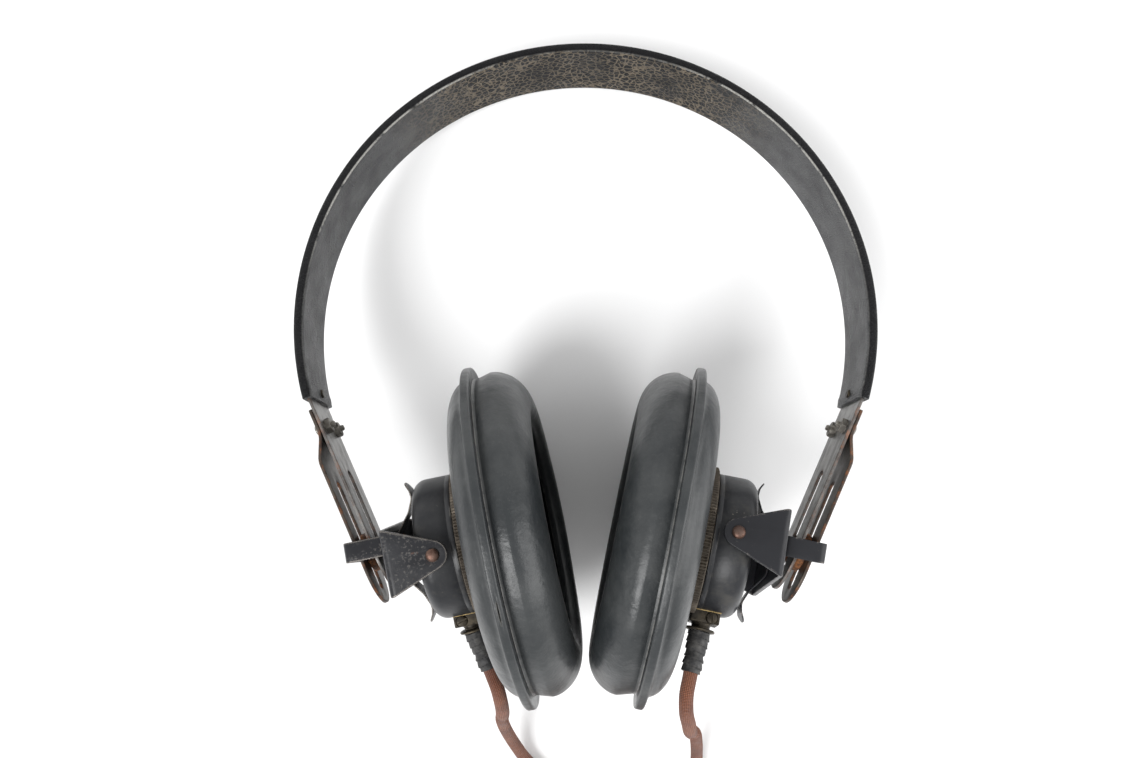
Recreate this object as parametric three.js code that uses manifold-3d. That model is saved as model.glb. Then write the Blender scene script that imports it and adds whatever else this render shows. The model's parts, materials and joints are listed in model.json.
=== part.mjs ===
// A double headphone for wireless operators and aircrew: a leather-covered spring steel band, slotted arm
// strips with sliders, yokes, and two receivers in large rubber ear cups, lying on its back on a table.
// Millimetres. +X right, +Y towards the crown, +Z up from the table.

import * as THREE from 'three';
import { mergeVertices } from 'three/addons/utils/BufferGeometryUtils.js';
import Module from 'manifold-3d';

const wasm = await Module();
wasm.setup();

const degrees = (angle) => THREE.MathUtils.degToRad(angle);

// ---------------------------------------------------------------- driving dimensions

const GAP = 0.3; // clearance between touching pieces

// Headband
const BAND_RADIUS = 86.1; // to the middle of the steel strip
const BAND_END_ANGLE = degrees(-16.6); // where the leather ends, below the horizontal
const BAND_STEPS = 36;
const COVER_THICKNESS = 3.0;
const COVER_WIDTH = 27.5;
const STRIP_THICKNESS = 0.9;
const STRIP_WIDTH = 22;
const ARM_LEAN = degrees(24.8); // of the straight arms from the vertical
const ARM_LENGTH = 61.8;
const SLOT_WIDTH = 5.0;
const INNER_SLOT = [23, 57.5]; // from and to, along the arm
const OUTER_SLOT = [24.7, 60];
const OUTER_START = 3.0;
const OUTER_LENGTH = 64.2;
const OUTER_BEND = [12.5, 17.5]; // where the outer strip steps away from the inner one
const STRIP_SPACING = 4.4; // between the middles of the two strips
const STRIP_NEAR = STRIP_THICKNESS + GAP; // the same, where they are screwed together
const SCREW_PLACE = 9.0; // along the arm
const SCREW_SPREAD = 6.0; // to each side of the middle
const SCREW_RADIUS = 1.0;
const SCREW_HEAD_RADIUS = 1.75;
const NUT_RADIUS = 2.5;
const NUT_THICKNESS = 1.8;
const RIVET_ANGLE = degrees(-14.9);

// Slider
const SLIDER_PLACE = 48.5; // along the arm, from the end of the leather
const STIRRUP_HEIGHT = 5.8;
const STIRRUP_INSIDE = 24.8;
const STIRRUP_THICKNESS = 1.2;
const STIRRUP_END = 7.9; // outer face, measured from the inner strip
const DISC_RADIUS = 6.0;
const BOLT_RADIUS = 1.5;
const BOLT_HEAD_RADIUS = 2.8;

// Yoke, in a frame with its origin between the two pivot rivets and x pointing outwards
const YOKE_LEAN = degrees(11.5); // of the ear cup's axis from the horizontal
const PIVOT_IN = 19.1; // from the inner strip to the pivots
const PIVOT_DOWN = 3.5; // from the swivel bolt to the pivots
const PLATE_INSIDE = 12.7;
const SHEET = 1.2;
const PLATE_HALF_HEIGHT = 9.5;
const EAR_INSIDE = 23.3;
const EAR_TIP_RADIUS = 4.1;
const PIVOT_RADIUS = 1.2;
const PIVOT_HEAD_RADIUS = 1.9;
const SPRING_THICKNESS = 0.45;
const SPRING_WIDTH = 8;

// Ear cup, in the same frame
const FLANGE_PLACE = -17.7;
const FLANGE_RADIUS = 51.5;
const FLANGE_THICKNESS = 2.7;
const REAR_RADIUS = 47.8;
const REAR_DEPTH = 7.7;
const REAR_CORNER = [11, 6.8];
const RUBBER_WALL = 3;
const CUSHION_RADIUS = 48.8;
const CUSHION_NECK_RADIUS = 47.5;
const CUSHION_DEPTH = 17.6;
const EAR_OPENING_RADIUS = 34;
const LIP_RADIUS = 3.2;
const CAN_RADIUS = 21;
const CAN_BACK = 5.6;
const CAN_MOUTH = -6.4;
const CAN_WALL = 1.2;
const CAN_CORNER = 4;
const RING_RADIUS = 22.8;
const RING_WIDTH = 3;
const RING_TEETH = 36;
const CAP_RADIUS = 21.3;
const NECK_RADIUS = 18;
const NECK_WALL = 1.6;
const ROUND_STEPS = 32;

// Cable entry
const CORD_DIAMETER = 4.3;
const BLOCK = { from: -7.7, to: 0.8, bottom: -24, halfWidth: 4.5, entry: -4, screw: -1.6 };
const SLEEVE_LENGTH = 12;
const SLEEVE_RADIUS = [3.65, 2.6];
const NIPPLE_RADIUS = 4.4;
const NIPPLE_THICKNESS = 1.6;

// How it lies on the table
const LYING_TILT = degrees(14.5);
const SIDES = [
  { name: 'left', mirror: -1, yaw: degrees(1.5), play: -0.5, swivel: degrees(5), sleeveLean: degrees(-11) },
  { name: 'right', mirror: 1, yaw: degrees(-3), play: 0.7, swivel: degrees(-10), sleeveLean: degrees(-3) },
];

// ---------------------------------------------------------------- materials

const paint = (color, roughness, metalness) => new THREE.MeshStandardMaterial({ color, roughness, metalness });

const MATERIALS = {
  leather: () => paint(0x2b2a2a, 0.6, 0),
  strip: () => paint(0x6d6a66, 0.4, 0.9),
  screw: () => paint(0x4a4038, 0.5, 0.9),
  blackPaint: () => paint(0x1d1d1f, 0.45, 0.4),
  rust: () => paint(0x5b3522, 0.8, 0.5),
  rivet: () => paint(0x7d5a45, 0.5, 0.8),
  rubber: () => paint(0x3b4044, 0.45, 0),
  bakelite: () => paint(0x1c1613, 0.35, 0),
  ring: () => paint(0x4b453d, 0.5, 0.8),
  steel: () => paint(0x8a8a8a, 0.35, 0.9),
  copper: () => paint(0x9a5a34, 0.4, 0.8),
  brass: () => paint(0x6e5a34, 0.4, 0.9),
  tape: () => paint(0x222020, 0.7, 0),
  cord: () => paint(0x6b3526, 0.9, 0),
};

// ---------------------------------------------------------------- solids

function toSolid(geometry) {
  const bare = geometry.index ? geometry.clone() : geometry;
  bare.deleteAttribute('normal');
  bare.deleteAttribute('uv');
  const merged = mergeVertices(bare, 1e-5);
  const index = merged.index.array;
  const kept = [];
  for (let i = 0; i < index.length; i += 3) {
    const [a, b, c] = [index[i], index[i + 1], index[i + 2]];
    if (a !== b && b !== c && c !== a) kept.push(a, b, c);
  }
  const vertProperties = new Float32Array(merged.attributes.position.array);
  return new wasm.Manifold(new wasm.Mesh({ numProp: 3, vertProperties, triVerts: new Uint32Array(kept) }));
}

function toGeometry(solid) {
  const mesh = solid.getMesh();
  const geometry = new THREE.BufferGeometry();
  geometry.setAttribute('position', new THREE.BufferAttribute(new Float32Array(mesh.vertProperties), 3));
  geometry.setIndex(new THREE.BufferAttribute(new Uint32Array(mesh.triVerts), 1));
  geometry.computeVertexNormals();
  return geometry;
}

function cut(geometry, ...cutters) {
  let solid = toSolid(geometry);
  for (const cutter of cutters) solid = solid.subtract(toSolid(cutter));
  return toGeometry(solid);
}

function join(...geometries) {
  return toGeometry(geometries.map(toSolid).reduce((sum, solid) => sum.add(solid)));
}

// A flat outline in x and y, given depth along z and centred on z = 0.
function extruded(shape, depth, curveSegments = 12) {
  const geometry = new THREE.ExtrudeGeometry(shape, { depth, bevelEnabled: false, curveSegments });
  return geometry.translate(0, 0, -depth / 2);
}

function block([x0, y0, z0], [x1, y1, z1]) {
  const geometry = new THREE.BoxGeometry(x1 - x0, y1 - y0, z1 - z0);
  return geometry.translate((x0 + x1) / 2, (y0 + y1) / 2, (z0 + z1) / 2);
}

// A rod of one radius between two points of an axis, 'x', 'y' or 'z'.
function rod(radius, from, to, axis, steps = 12) {
  const geometry = new THREE.CylinderGeometry(radius, radius, to - from, steps);
  geometry.translate(0, (from + to) / 2, 0);
  if (axis === 'x') geometry.rotateZ(-Math.PI / 2);
  if (axis === 'z') geometry.rotateX(Math.PI / 2);
  return geometry;
}

// Turns a profile of [radius, place] pairs about the x axis, place being the distance along it.
function turned(profile, steps = ROUND_STEPS) {
  const points = profile.map(([radius, place]) => new THREE.Vector2(radius, place));
  return new THREE.LatheGeometry(points, steps).rotateZ(-Math.PI / 2);
}

function arc(centre, radius, fromAngle, toAngle, steps) {
  const points = [];
  for (let i = 0; i <= steps; i += 1) {
    const angle = fromAngle + ((toAngle - fromAngle) * i) / steps;
    const [radiusX, radiusY] = Array.isArray(radius) ? radius : [radius, radius];
    points.push([centre[0] + radiusX * Math.cos(angle), centre[1] + radiusY * Math.sin(angle)]);
  }
  return points;
}

// The outline of a strip of even thickness along a line of points.
function ribbon(points, thickness) {
  const line = points.map(([x, y]) => new THREE.Vector2(x, y));
  const left = [];
  const right = [];
  line.forEach((point, i) => {
    const before = point.clone().sub(line[Math.max(i - 1, 0)]).normalize();
    const after = line[Math.min(i + 1, line.length - 1)].clone().sub(point).normalize();
    const tangent = before.clone().add(after).normalize();
    const both = i > 0 && i < line.length - 1;
    const stretch = both ? 1 / Math.sqrt((1 + before.dot(after)) / 2) : 1;
    const offset = new THREE.Vector2(-tangent.y, tangent.x).multiplyScalar((thickness / 2) * stretch);
    left.push(point.clone().add(offset));
    right.unshift(point.clone().sub(offset));
  });
  return new THREE.Shape([...left, ...right]);
}

// A slot with round ends in y and z, running down from y = -from to y = -to.
function slotShape(from, to, width) {
  const radius = width / 2;
  const shape = new THREE.Shape();
  shape.absarc(0, -(from + radius), radius, 0, Math.PI, false);
  shape.absarc(0, -(to - radius), radius, Math.PI, 2 * Math.PI, false);
  return shape;
}

function addMesh(parent, name, geometry, material) {
  const mesh = new THREE.Mesh(geometry, material());
  mesh.name = name;
  parent.add(mesh);
  return mesh;
}

function addGroup(parent, place = [0, 0, 0], turn = [0, 0, 0]) {
  const group = new THREE.Group();
  group.position.set(...place);
  group.rotation.set(...turn);
  parent.add(group);
  return group;
}

// ---------------------------------------------------------------- headband

const armStart = [BAND_RADIUS * Math.cos(BAND_END_ANGLE), BAND_RADIUS * Math.sin(BAND_END_ANGLE)];

// The arm frame: origin at the end of the leather, x outwards from the strip, y up along it.
function armMatrix(mirror) {
  const matrix = new THREE.Matrix4().makeScale(mirror, 1, 1);
  matrix.multiply(new THREE.Matrix4().makeTranslation(armStart[0], armStart[1], 0));
  return matrix.multiply(new THREE.Matrix4().makeRotationZ(-ARM_LEAN));
}

function bandLine(extra) {
  return arc([0, 0], BAND_RADIUS, BAND_END_ANGLE - extra, Math.PI - BAND_END_ANGLE + extra, BAND_STEPS);
}

function screwHoles() {
  return [-1, 1].map((side) =>
    rod(SCREW_RADIUS + GAP, -3, 6, 'x').translate(0, -SCREW_PLACE, side * SCREW_SPREAD),
  );
}

// What is cut from a strip to leave its full-round end, its slot and its screw holes.
function stripCutters(length, slot) {
  const radius = STRIP_WIDTH / 2;
  const corners = new THREE.Shape();
  const reach = radius + 2;
  corners.moveTo(-reach, -(length - radius));
  corners.absarc(0, -(length - radius), radius, Math.PI, 2 * Math.PI, false);
  corners.lineTo(reach, -(length - radius));
  corners.lineTo(reach, -(length + reach));
  corners.lineTo(-reach, -(length + reach));
  const depth = 24;
  return [
    extrudedOnStrip(corners, depth, 12),
    extrudedOnStrip(slotShape(slot[0], slot[1], SLOT_WIDTH), depth, 6),
    ...screwHoles(),
  ];
}

// An outline whose x runs across the strip and whose y runs up it, cut through it along x.
function extrudedOnStrip(shape, depth, curveSegments) {
  return extruded(shape, depth, curveSegments).rotateY(Math.PI / 2);
}

function springBand() {
  const tip = [armStart[0] - ARM_LENGTH * Math.sin(ARM_LEAN), armStart[1] - ARM_LENGTH * Math.cos(ARM_LEAN)];
  const line = [tip, ...bandLine(0), [-tip[0], tip[1]]];
  const cutters = [];
  for (const mirror of [-1, 1]) {
    for (const cutter of stripCutters(ARM_LENGTH, INNER_SLOT)) {
      const solid = toSolid(cutter).transform(armMatrix(mirror).elements);
      cutters.push(toGeometry(solid));
    }
    cutters.push(rivetHole(mirror));
  }
  return cut(extruded(ribbon(line, STRIP_THICKNESS), STRIP_WIDTH), ...cutters);
}

function rivetHole(mirror) {
  const angle = mirror > 0 ? RIVET_ANGLE : Math.PI - RIVET_ANGLE;
  return rod(0.9, BAND_RADIUS - 5, BAND_RADIUS + 5, 'x', 8).rotateZ(angle);
}

function leatherCover() {
  const sleeve = extruded(ribbon(bandLine(0), COVER_THICKNESS), COVER_WIDTH);
  const hollow = extruded(ribbon(bandLine(0.01), STRIP_THICKNESS + 2 * GAP), STRIP_WIDTH + 2 * GAP);
  return cut(sleeve, hollow, rivetHole(-1), rivetHole(1));
}

function coverRivet() {
  const face = BAND_RADIUS + COVER_THICKNESS / 2 + GAP;
  const foot = BAND_RADIUS - COVER_THICKNESS / 2 - GAP;
  const profile = [
    [0, foot - 0.6], [1.4, foot - 0.6], [1.4, foot], [0.6, foot], [0.6, face],
    [1.9, face], [1.7, face + 0.6], [1.0, face + 1.0], [0, face + 1.1],
  ];
  return turned(profile, 12);
}

function outerStrip() {
  const line = [
    [STRIP_NEAR, -OUTER_START],
    [STRIP_NEAR, -OUTER_BEND[0]],
    [STRIP_SPACING, -OUTER_BEND[1]],
    [STRIP_SPACING, -OUTER_LENGTH],
  ];
  const strip = extruded(ribbon(line, STRIP_THICKNESS), STRIP_WIDTH - 1);
  return cut(strip, ...stripCutters(OUTER_LENGTH, OUTER_SLOT));
}

function stripScrew() {
  const face = STRIP_NEAR + STRIP_THICKNESS / 2 + GAP;
  const end = -STRIP_THICKNESS / 2 - GAP - NUT_THICKNESS - 0.9;
  const head = SCREW_HEAD_RADIUS;
  const profile = [
    [0, end], [SCREW_RADIUS, end], [SCREW_RADIUS, face], [head, face],
    [head, face + 0.4], [head * 0.7, face + 1.0], [0, face + 1.25],
  ];
  const slot = block([face + 0.75, -3, -0.25], [face + 3, 3, 0.25]);
  return cut(turned(profile, 12), slot);
}

function stripNut() {
  const face = -STRIP_THICKNESS / 2 - GAP;
  const body = rod(NUT_RADIUS, face - NUT_THICKNESS, face, 'x', 6);
  return cut(body, rod(SCREW_RADIUS + 0.2, face - 4, face + 2, 'x'));
}

function addHeadband(ring) {
  addMesh(ring, 'leather_cover', leatherCover(), MATERIALS.leather);
  addMesh(ring, 'spring_band', springBand(), MATERIALS.strip);
}

function addArm(ring, side) {
  const mirrored = addGroup(ring);
  mirrored.scale.x = side.mirror;
  const rivetPlace = addGroup(mirrored, [0, 0, 0], [0, 0, RIVET_ANGLE]);
  addMesh(rivetPlace, `${side.name}_cover_rivet`, coverRivet(), MATERIALS.rivet);
  const arm = addGroup(mirrored, [armStart[0], armStart[1], 0], [0, 0, -ARM_LEAN]);
  addMesh(arm, `${side.name}_outer_strip`, outerStrip(), MATERIALS.strip);
  for (const [place, offset] of [['near', SCREW_SPREAD], ['far', -SCREW_SPREAD]]) {
    const spot = addGroup(arm, [0, -SCREW_PLACE, offset]);
    addMesh(spot, `${side.name}_strip_screw_${place}`, stripScrew(), MATERIALS.screw);
    addMesh(spot, `${side.name}_strip_nut_${place}`, stripNut(), MATERIALS.screw);
  }
  const discPlace = addGroup(arm, [STRIP_SPACING / 2, -SLIDER_PLACE, side.play]);
  addMesh(discPlace, `${side.name}_friction_disc`, frictionDisc(), MATERIALS.rust);
  return mirrored;
}

// ---------------------------------------------------------------- slider

function frictionDisc() {
  const half = STRIP_SPACING / 2 - STRIP_THICKNESS / 2 - GAP;
  const bore = BOLT_RADIUS + 1.2;
  const profile = [
    [bore, -half], [DISC_RADIUS - 0.4, -half], [DISC_RADIUS, -half + 0.4],
    [DISC_RADIUS, half - 0.4], [DISC_RADIUS - 0.4, half], [bore, half], [bore, -half],
  ];
  return turned(profile, 16);
}

const stirrupStart = PLATE_INSIDE + SHEET - PIVOT_IN + GAP;

// A strap folded round both strips, closed by a bar next to the yoke.
function stirrup() {
  const half = STIRRUP_INSIDE / 2;
  const outside = block(
    [stirrupStart, -STIRRUP_HEIGHT / 2, -half - STIRRUP_THICKNESS],
    [STIRRUP_END, STIRRUP_HEIGHT / 2, half + STIRRUP_THICKNESS],
  );
  const inside = block(
    [stirrupStart + STIRRUP_THICKNESS, -STIRRUP_HEIGHT, -half],
    [STIRRUP_END - STIRRUP_THICKNESS, STIRRUP_HEIGHT, half],
  );
  return cut(outside, inside, rod(BOLT_RADIUS + GAP, stirrupStart - 2, STIRRUP_END + 2, 'x', 16));
}

function swivelBolt() {
  const headFace = PLATE_INSIDE - PIVOT_IN - 2 * GAP - SPRING_THICKNESS - 0.1;
  const end = STIRRUP_END + 0.7;
  const profile = [
    [0, headFace - 0.9], [BOLT_HEAD_RADIUS * 0.7, headFace - 0.9], [BOLT_HEAD_RADIUS, headFace - 0.4],
    [BOLT_HEAD_RADIUS, headFace], [BOLT_RADIUS, headFace], [BOLT_RADIUS, end - 0.4], [BOLT_RADIUS - 0.4, end],
    [0, end],
  ];
  return turned(profile, 16);
}

function addSlider(mirrored, side) {
  const x = armStart[0] - SLIDER_PLACE * Math.sin(ARM_LEAN);
  const y = armStart[1] - SLIDER_PLACE * Math.cos(ARM_LEAN);
  const yawed = addGroup(mirrored, [x, y, side.play], [0, side.yaw, 0]);
  const slider = addGroup(yawed, [0, 0, 0], [0, 0, -YOKE_LEAN]);
  addMesh(slider, `${side.name}_stirrup`, stirrup(), MATERIALS.blackPaint);
  addMesh(slider, `${side.name}_swivel_bolt`, swivelBolt(), MATERIALS.rust);
  return slider;
}

// ---------------------------------------------------------------- yoke

function yoke() {
  const back = PLATE_INSIDE + SHEET;
  const reach = Math.hypot(back, PLATE_HALF_HEIGHT);
  const tangent = Math.atan2(PLATE_HALF_HEIGHT, back) + Math.acos(EAR_TIP_RADIUS / reach);
  const outline = new THREE.Shape();
  outline.moveTo(back, -PLATE_HALF_HEIGHT);
  outline.lineTo(back, PLATE_HALF_HEIGHT);
  outline.absarc(0, 0, EAR_TIP_RADIUS, tangent, 2 * Math.PI - tangent, false);
  const outside = extruded(outline, 2 * (EAR_INSIDE + SHEET), 14);
  const inside = block([-10, -20, -EAR_INSIDE], [PLATE_INSIDE, 20, EAR_INSIDE]);
  const pivotHole = rod(PIVOT_RADIUS + GAP, -30, 30, 'z', 12);
  const boltHole = rod(BOLT_RADIUS + GAP, 0, 20, 'x', 16).translate(0, PIVOT_DOWN, 0);
  return cut(outside, inside, pivotHole, boltHole);
}

// A rivet through an ear and the wall of the receiver can, its domed head outwards along z.
function pivotRivet() {
  const face = EAR_INSIDE + SHEET + GAP;
  const foot = CAN_RADIUS - CAN_WALL - GAP;
  const profile = [
    [0, foot - 0.8], [PIVOT_HEAD_RADIUS, foot - 0.8], [PIVOT_HEAD_RADIUS, foot], [PIVOT_RADIUS, foot],
    [PIVOT_RADIUS, face], [PIVOT_HEAD_RADIUS, face], [PIVOT_HEAD_RADIUS * 0.9, face + 0.6],
    [PIVOT_HEAD_RADIUS * 0.55, face + 1.1], [0, face + 1.3],
  ];
  return turned(profile, 10).rotateY(-Math.PI / 2);
}

function leafSpring() {
  const seat = PLATE_INSIDE - GAP - SPRING_THICKNESS / 2;
  const half = [[seat, 0], [seat, 6.8], [8, 12.2], [6.25, 16.2], [6.6, 18.8], [8, 21.2]];
  const mirrored = half.slice(1).map(([x, y]) => [x, -y]).reverse();
  const leaf = extruded(ribbon([...mirrored, ...half], SPRING_THICKNESS), SPRING_WIDTH);
  return cut(leaf, rod(BOLT_RADIUS + GAP, 5, 15, 'x').translate(0, PIVOT_DOWN, 0));
}

function addYoke(slider, side) {
  const swivelled = addGroup(slider, [0, 0, 0], [side.swivel, 0, 0]);
  const atPivots = addGroup(swivelled, [-PIVOT_IN, -PIVOT_DOWN, 0]);
  addMesh(atPivots, `${side.name}_yoke`, yoke(), MATERIALS.blackPaint);
  addMesh(atPivots, `${side.name}_leaf_spring`, leafSpring(), MATERIALS.blackPaint);
  return atPivots;
}

// ---------------------------------------------------------------- ear cup

function rearShell() {
  const [flangeFront, flangeBack] = [-FLANGE_THICKNESS / 2, FLANGE_THICKNESS / 2];
  const cornerRadius = REAR_RADIUS - REAR_CORNER[0];
  const cornerPlace = REAR_DEPTH - REAR_CORNER[1];
  const innerCorner = [REAR_CORNER[0] - RUBBER_WALL, REAR_CORNER[1] - RUBBER_WALL];
  const hole = NECK_RADIUS + GAP;
  const profile = [
    [REAR_RADIUS - RUBBER_WALL, flangeFront],
    [FLANGE_RADIUS - 0.6, flangeFront],
    [FLANGE_RADIUS, flangeFront + 0.6],
    [FLANGE_RADIUS, flangeBack - 0.6],
    [FLANGE_RADIUS - 0.6, flangeBack],
    [REAR_RADIUS, flangeBack],
    ...arc([cornerRadius, cornerPlace], REAR_CORNER, degrees(15), degrees(90), 4),
    [hole, REAR_DEPTH],
    [hole, REAR_DEPTH - RUBBER_WALL],
    ...arc([cornerRadius, cornerPlace], innerCorner, degrees(90), degrees(0), 2),
    [REAR_RADIUS - RUBBER_WALL, flangeFront],
  ];
  return turned(profile).translate(FLANGE_PLACE, 0, 0);
}

function earCushion() {
  const back = -FLANGE_THICKNESS / 2 - GAP;
  const lip = [EAR_OPENING_RADIUS + LIP_RADIUS, -CUSHION_DEPTH + LIP_RADIUS];
  const bulge = [CUSHION_RADIUS - lip[0], 10.4];
  const bulgeCentre = [lip[0], -CUSHION_DEPTH + bulge[1]];
  const inner = [bulge[0] - RUBBER_WALL, bulge[1] - RUBBER_WALL];
  const profile = [
    [CUSHION_NECK_RADIUS - RUBBER_WALL, back],
    ...arc(bulgeCentre, inner, degrees(0), degrees(-80), 3),
    [EAR_OPENING_RADIUS + 1, lip[1] + 1.6],
    ...arc(lip, LIP_RADIUS, degrees(180), degrees(270), 2),
    ...arc(bulgeCentre, bulge, degrees(-80), degrees(0), 5),
    [CUSHION_NECK_RADIUS, back - 1.4],
    [CUSHION_NECK_RADIUS, back],
    [CUSHION_NECK_RADIUS - RUBBER_WALL, back],
  ];
  return turned(profile).translate(FLANGE_PLACE, 0, 0);
}

function capsuleCan() {
  const corner = [CAN_RADIUS - CAN_CORNER, CAN_BACK - CAN_CORNER];
  const profile = [
    [0, CAN_BACK - CAN_WALL],
    ...arc(corner, CAN_CORNER - CAN_WALL, degrees(90), degrees(0), 2),
    [CAN_RADIUS - CAN_WALL, CAN_MOUTH],
    [CAN_RADIUS, CAN_MOUTH],
    ...arc(corner, CAN_CORNER, degrees(0), degrees(90), 3),
    [0, CAN_BACK],
  ];
  const rivetHoles = rod(PIVOT_RADIUS + GAP, -30, 30, 'z', 10);
  const cordHole = rod(1.6, -30, -10, 'y', 8).translate(BLOCK.entry, 0, 0);
  return cut(turned(profile, 28), rivetHoles, cordHole);
}

function knurledRing() {
  const outline = new THREE.Shape();
  for (let i = 0; i < 2 * RING_TEETH; i += 1) {
    const angle = (Math.PI * i) / RING_TEETH;
    const radius = i % 2 ? RING_RADIUS : RING_RADIUS - 0.35;
    const point = [radius * Math.cos(angle), radius * Math.sin(angle)];
    if (i === 0) outline.moveTo(...point);
    else outline.lineTo(...point);
  }
  const hole = new THREE.Path();
  hole.absarc(0, 0, NECK_RADIUS + GAP, 0, 2 * Math.PI, true);
  outline.holes.push(hole);
  const middle = CAN_MOUTH - GAP - RING_WIDTH / 2;
  const notchHalf = BLOCK.halfWidth + GAP;
  const notch = block([-20, -30, -notchHalf], [20, -15, notchHalf]);
  return cut(extruded(outline, RING_WIDTH, 12).rotateY(Math.PI / 2).translate(middle, 0, 0), notch);
}

// The cap that screws through the rubber: a perforated plate in front and a threaded neck behind.
function receiverCap() {
  const plateBack = FLANGE_PLACE + REAR_DEPTH - RUBBER_WALL - GAP;
  const neckEnd = CAN_MOUTH - 1.2;
  const bore = NECK_RADIUS - NECK_WALL;
  const profile = [
    [0, plateBack - 2.2], [8, plateBack - 2.2], [CAP_RADIUS - 3, plateBack - 1.8], [CAP_RADIUS, plateBack - 0.8],
    [CAP_RADIUS, plateBack], [NECK_RADIUS, plateBack], [NECK_RADIUS, neckEnd], [bore, neckEnd],
    [bore, plateBack], [0, plateBack],
  ];
  const holes = [rod(1.5, -25, 0, 'x', 8)];
  for (let i = 0; i < 6; i += 1) {
    const angle = degrees(60 * i);
    holes.push(rod(1.5, -25, 0, 'x', 8).translate(0, 8 * Math.cos(angle), 8 * Math.sin(angle)));
  }
  return cut(turned(profile, 24), ...holes);
}

function diaphragm() {
  return rod(NECK_RADIUS - NECK_WALL - GAP, -9.7, -9.3, 'x', 20);
}

const POLE = { place: 6.5, halfHeight: 1.7, halfWidth: 3 };

function magnet() {
  const outline = new THREE.Shape();
  const [inside, outside] = [POLE.place - POLE.halfHeight, POLE.place + POLE.halfHeight];
  const corners = [
    [3.7, -outside], [3.7, outside], [-8.6, outside], [-8.6, inside],
    [0.1, inside], [0.1, -inside], [-8.6, -inside], [-8.6, -outside],
  ];
  outline.setFromPoints(corners.map(([x, y]) => new THREE.Vector2(x, y)));
  return extruded(outline, 2 * POLE.halfWidth);
}

function coil() {
  const outer = block([-6.9, -4.6, -6.2], [-0.3, 4.6, 6.2]);
  const [height, width] = [POLE.halfHeight + GAP, POLE.halfWidth + GAP];
  return cut(outer, block([-12, -height, -width], [9, height, width]));
}

// ---------------------------------------------------------------- cable entry

function cableGland(sleeveLean) {
  const body = cut(
    block([BLOCK.from, BLOCK.bottom, -BLOCK.halfWidth], [BLOCK.to, -18, BLOCK.halfWidth]),
    rod(CAN_RADIUS + GAP, -10, 15, 'x', 36),
    rod(1.1, 0.5, 8, 'z', 10).translate(BLOCK.screw, BLOCK.bottom + 1.7, 0),
  );
  const profile = [
    [0, 1], [2.9, 1], [2.9, -0.4], [NIPPLE_RADIUS, -0.4 - GAP], [NIPPLE_RADIUS, -0.4 - NIPPLE_THICKNESS],
    [3.2, -0.6 - NIPPLE_THICKNESS], [0, -0.6 - NIPPLE_THICKNESS],
  ];
  const points = profile.map(([radius, place]) => new THREE.Vector2(radius, place)).reverse();
  const nipple = new THREE.LatheGeometry(points, 14).rotateZ(sleeveLean / 2);
  return join(body, nipple.translate(BLOCK.entry, BLOCK.bottom, 0));
}

function clampScrew() {
  const face = BLOCK.halfWidth + GAP;
  const profile = [
    [0, 1.5], [0.8, 1.5], [0.8, face], [1.6, face], [1.6, face + 0.5], [1.0, face + 0.9], [0, face + 1.0],
  ];
  const screw = turned(profile, 12).rotateY(-Math.PI / 2);
  return cut(screw, block([-3, -0.2, face + 0.6], [3, 0.2, face + 3]));
}

// Tape bound round the cord, with a ring of string at its end.
function sleeve() {
  const [top, end] = SLEEVE_RADIUS;
  const profile = [
    [0, -SLEEVE_LENGTH], [end - 0.3, -SLEEVE_LENGTH], [end, -SLEEVE_LENGTH + 0.4], [end, -SLEEVE_LENGTH + 1.6],
    [end - 0.1, -SLEEVE_LENGTH + 1.7], [top - 0.5, -SLEEVE_LENGTH / 2], [top, -0.8], [top - 0.4, 0], [0, 0],
  ];
  return new THREE.LatheGeometry(profile.map(([radius, place]) => new THREE.Vector2(radius, place)), 12);
}

function addCup(atPivots, side) {
  const named = (piece) => `${side.name}_${piece}`;
  const cup = addGroup(atPivots);
  addMesh(cup, named('rear_shell'), rearShell(), MATERIALS.rubber);
  addMesh(cup, named('ear_cushion'), earCushion(), MATERIALS.rubber);
  addMesh(cup, named('capsule_can'), capsuleCan(), MATERIALS.blackPaint);
  addMesh(cup, named('knurled_ring'), knurledRing(), MATERIALS.ring);
  addMesh(cup, named('receiver_cap'), receiverCap(), MATERIALS.bakelite);
  addMesh(cup, named('diaphragm'), diaphragm(), MATERIALS.steel);
  addMesh(cup, named('magnet'), magnet(), MATERIALS.steel);
  for (const [place, offset] of [['upper', POLE.place], ['lower', -POLE.place]]) {
    addMesh(addGroup(cup, [0, offset, 0]), named(`coil_${place}`), coil(), MATERIALS.copper);
  }
  addMesh(cup, named('pivot_rivet_near'), pivotRivet(), MATERIALS.rivet);
  addMesh(addGroup(cup, [0, 0, 0], [Math.PI, 0, 0]), named('pivot_rivet_far'), pivotRivet(), MATERIALS.rivet);
  addMesh(cup, named('cable_gland'), cableGland(side.sleeveLean), MATERIALS.brass);
  const screwPlace = addGroup(cup, [BLOCK.screw, BLOCK.bottom + 1.7, 0]);
  addMesh(screwPlace, named('clamp_screw'), clampScrew(), MATERIALS.brass);
  const start = BLOCK.bottom - 0.6 - NIPPLE_THICKNESS - 2 * GAP;
  const shift = Math.sin(side.sleeveLean / 2) * (BLOCK.bottom - start);
  const sleevePlace = addGroup(cup, [BLOCK.entry + shift, start, 0], [0, 0, side.sleeveLean]);
  addMesh(sleevePlace, named('sleeve'), sleeve(), MATERIALS.tape);
}

// ---------------------------------------------------------------- cords, in the table's frame

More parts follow.
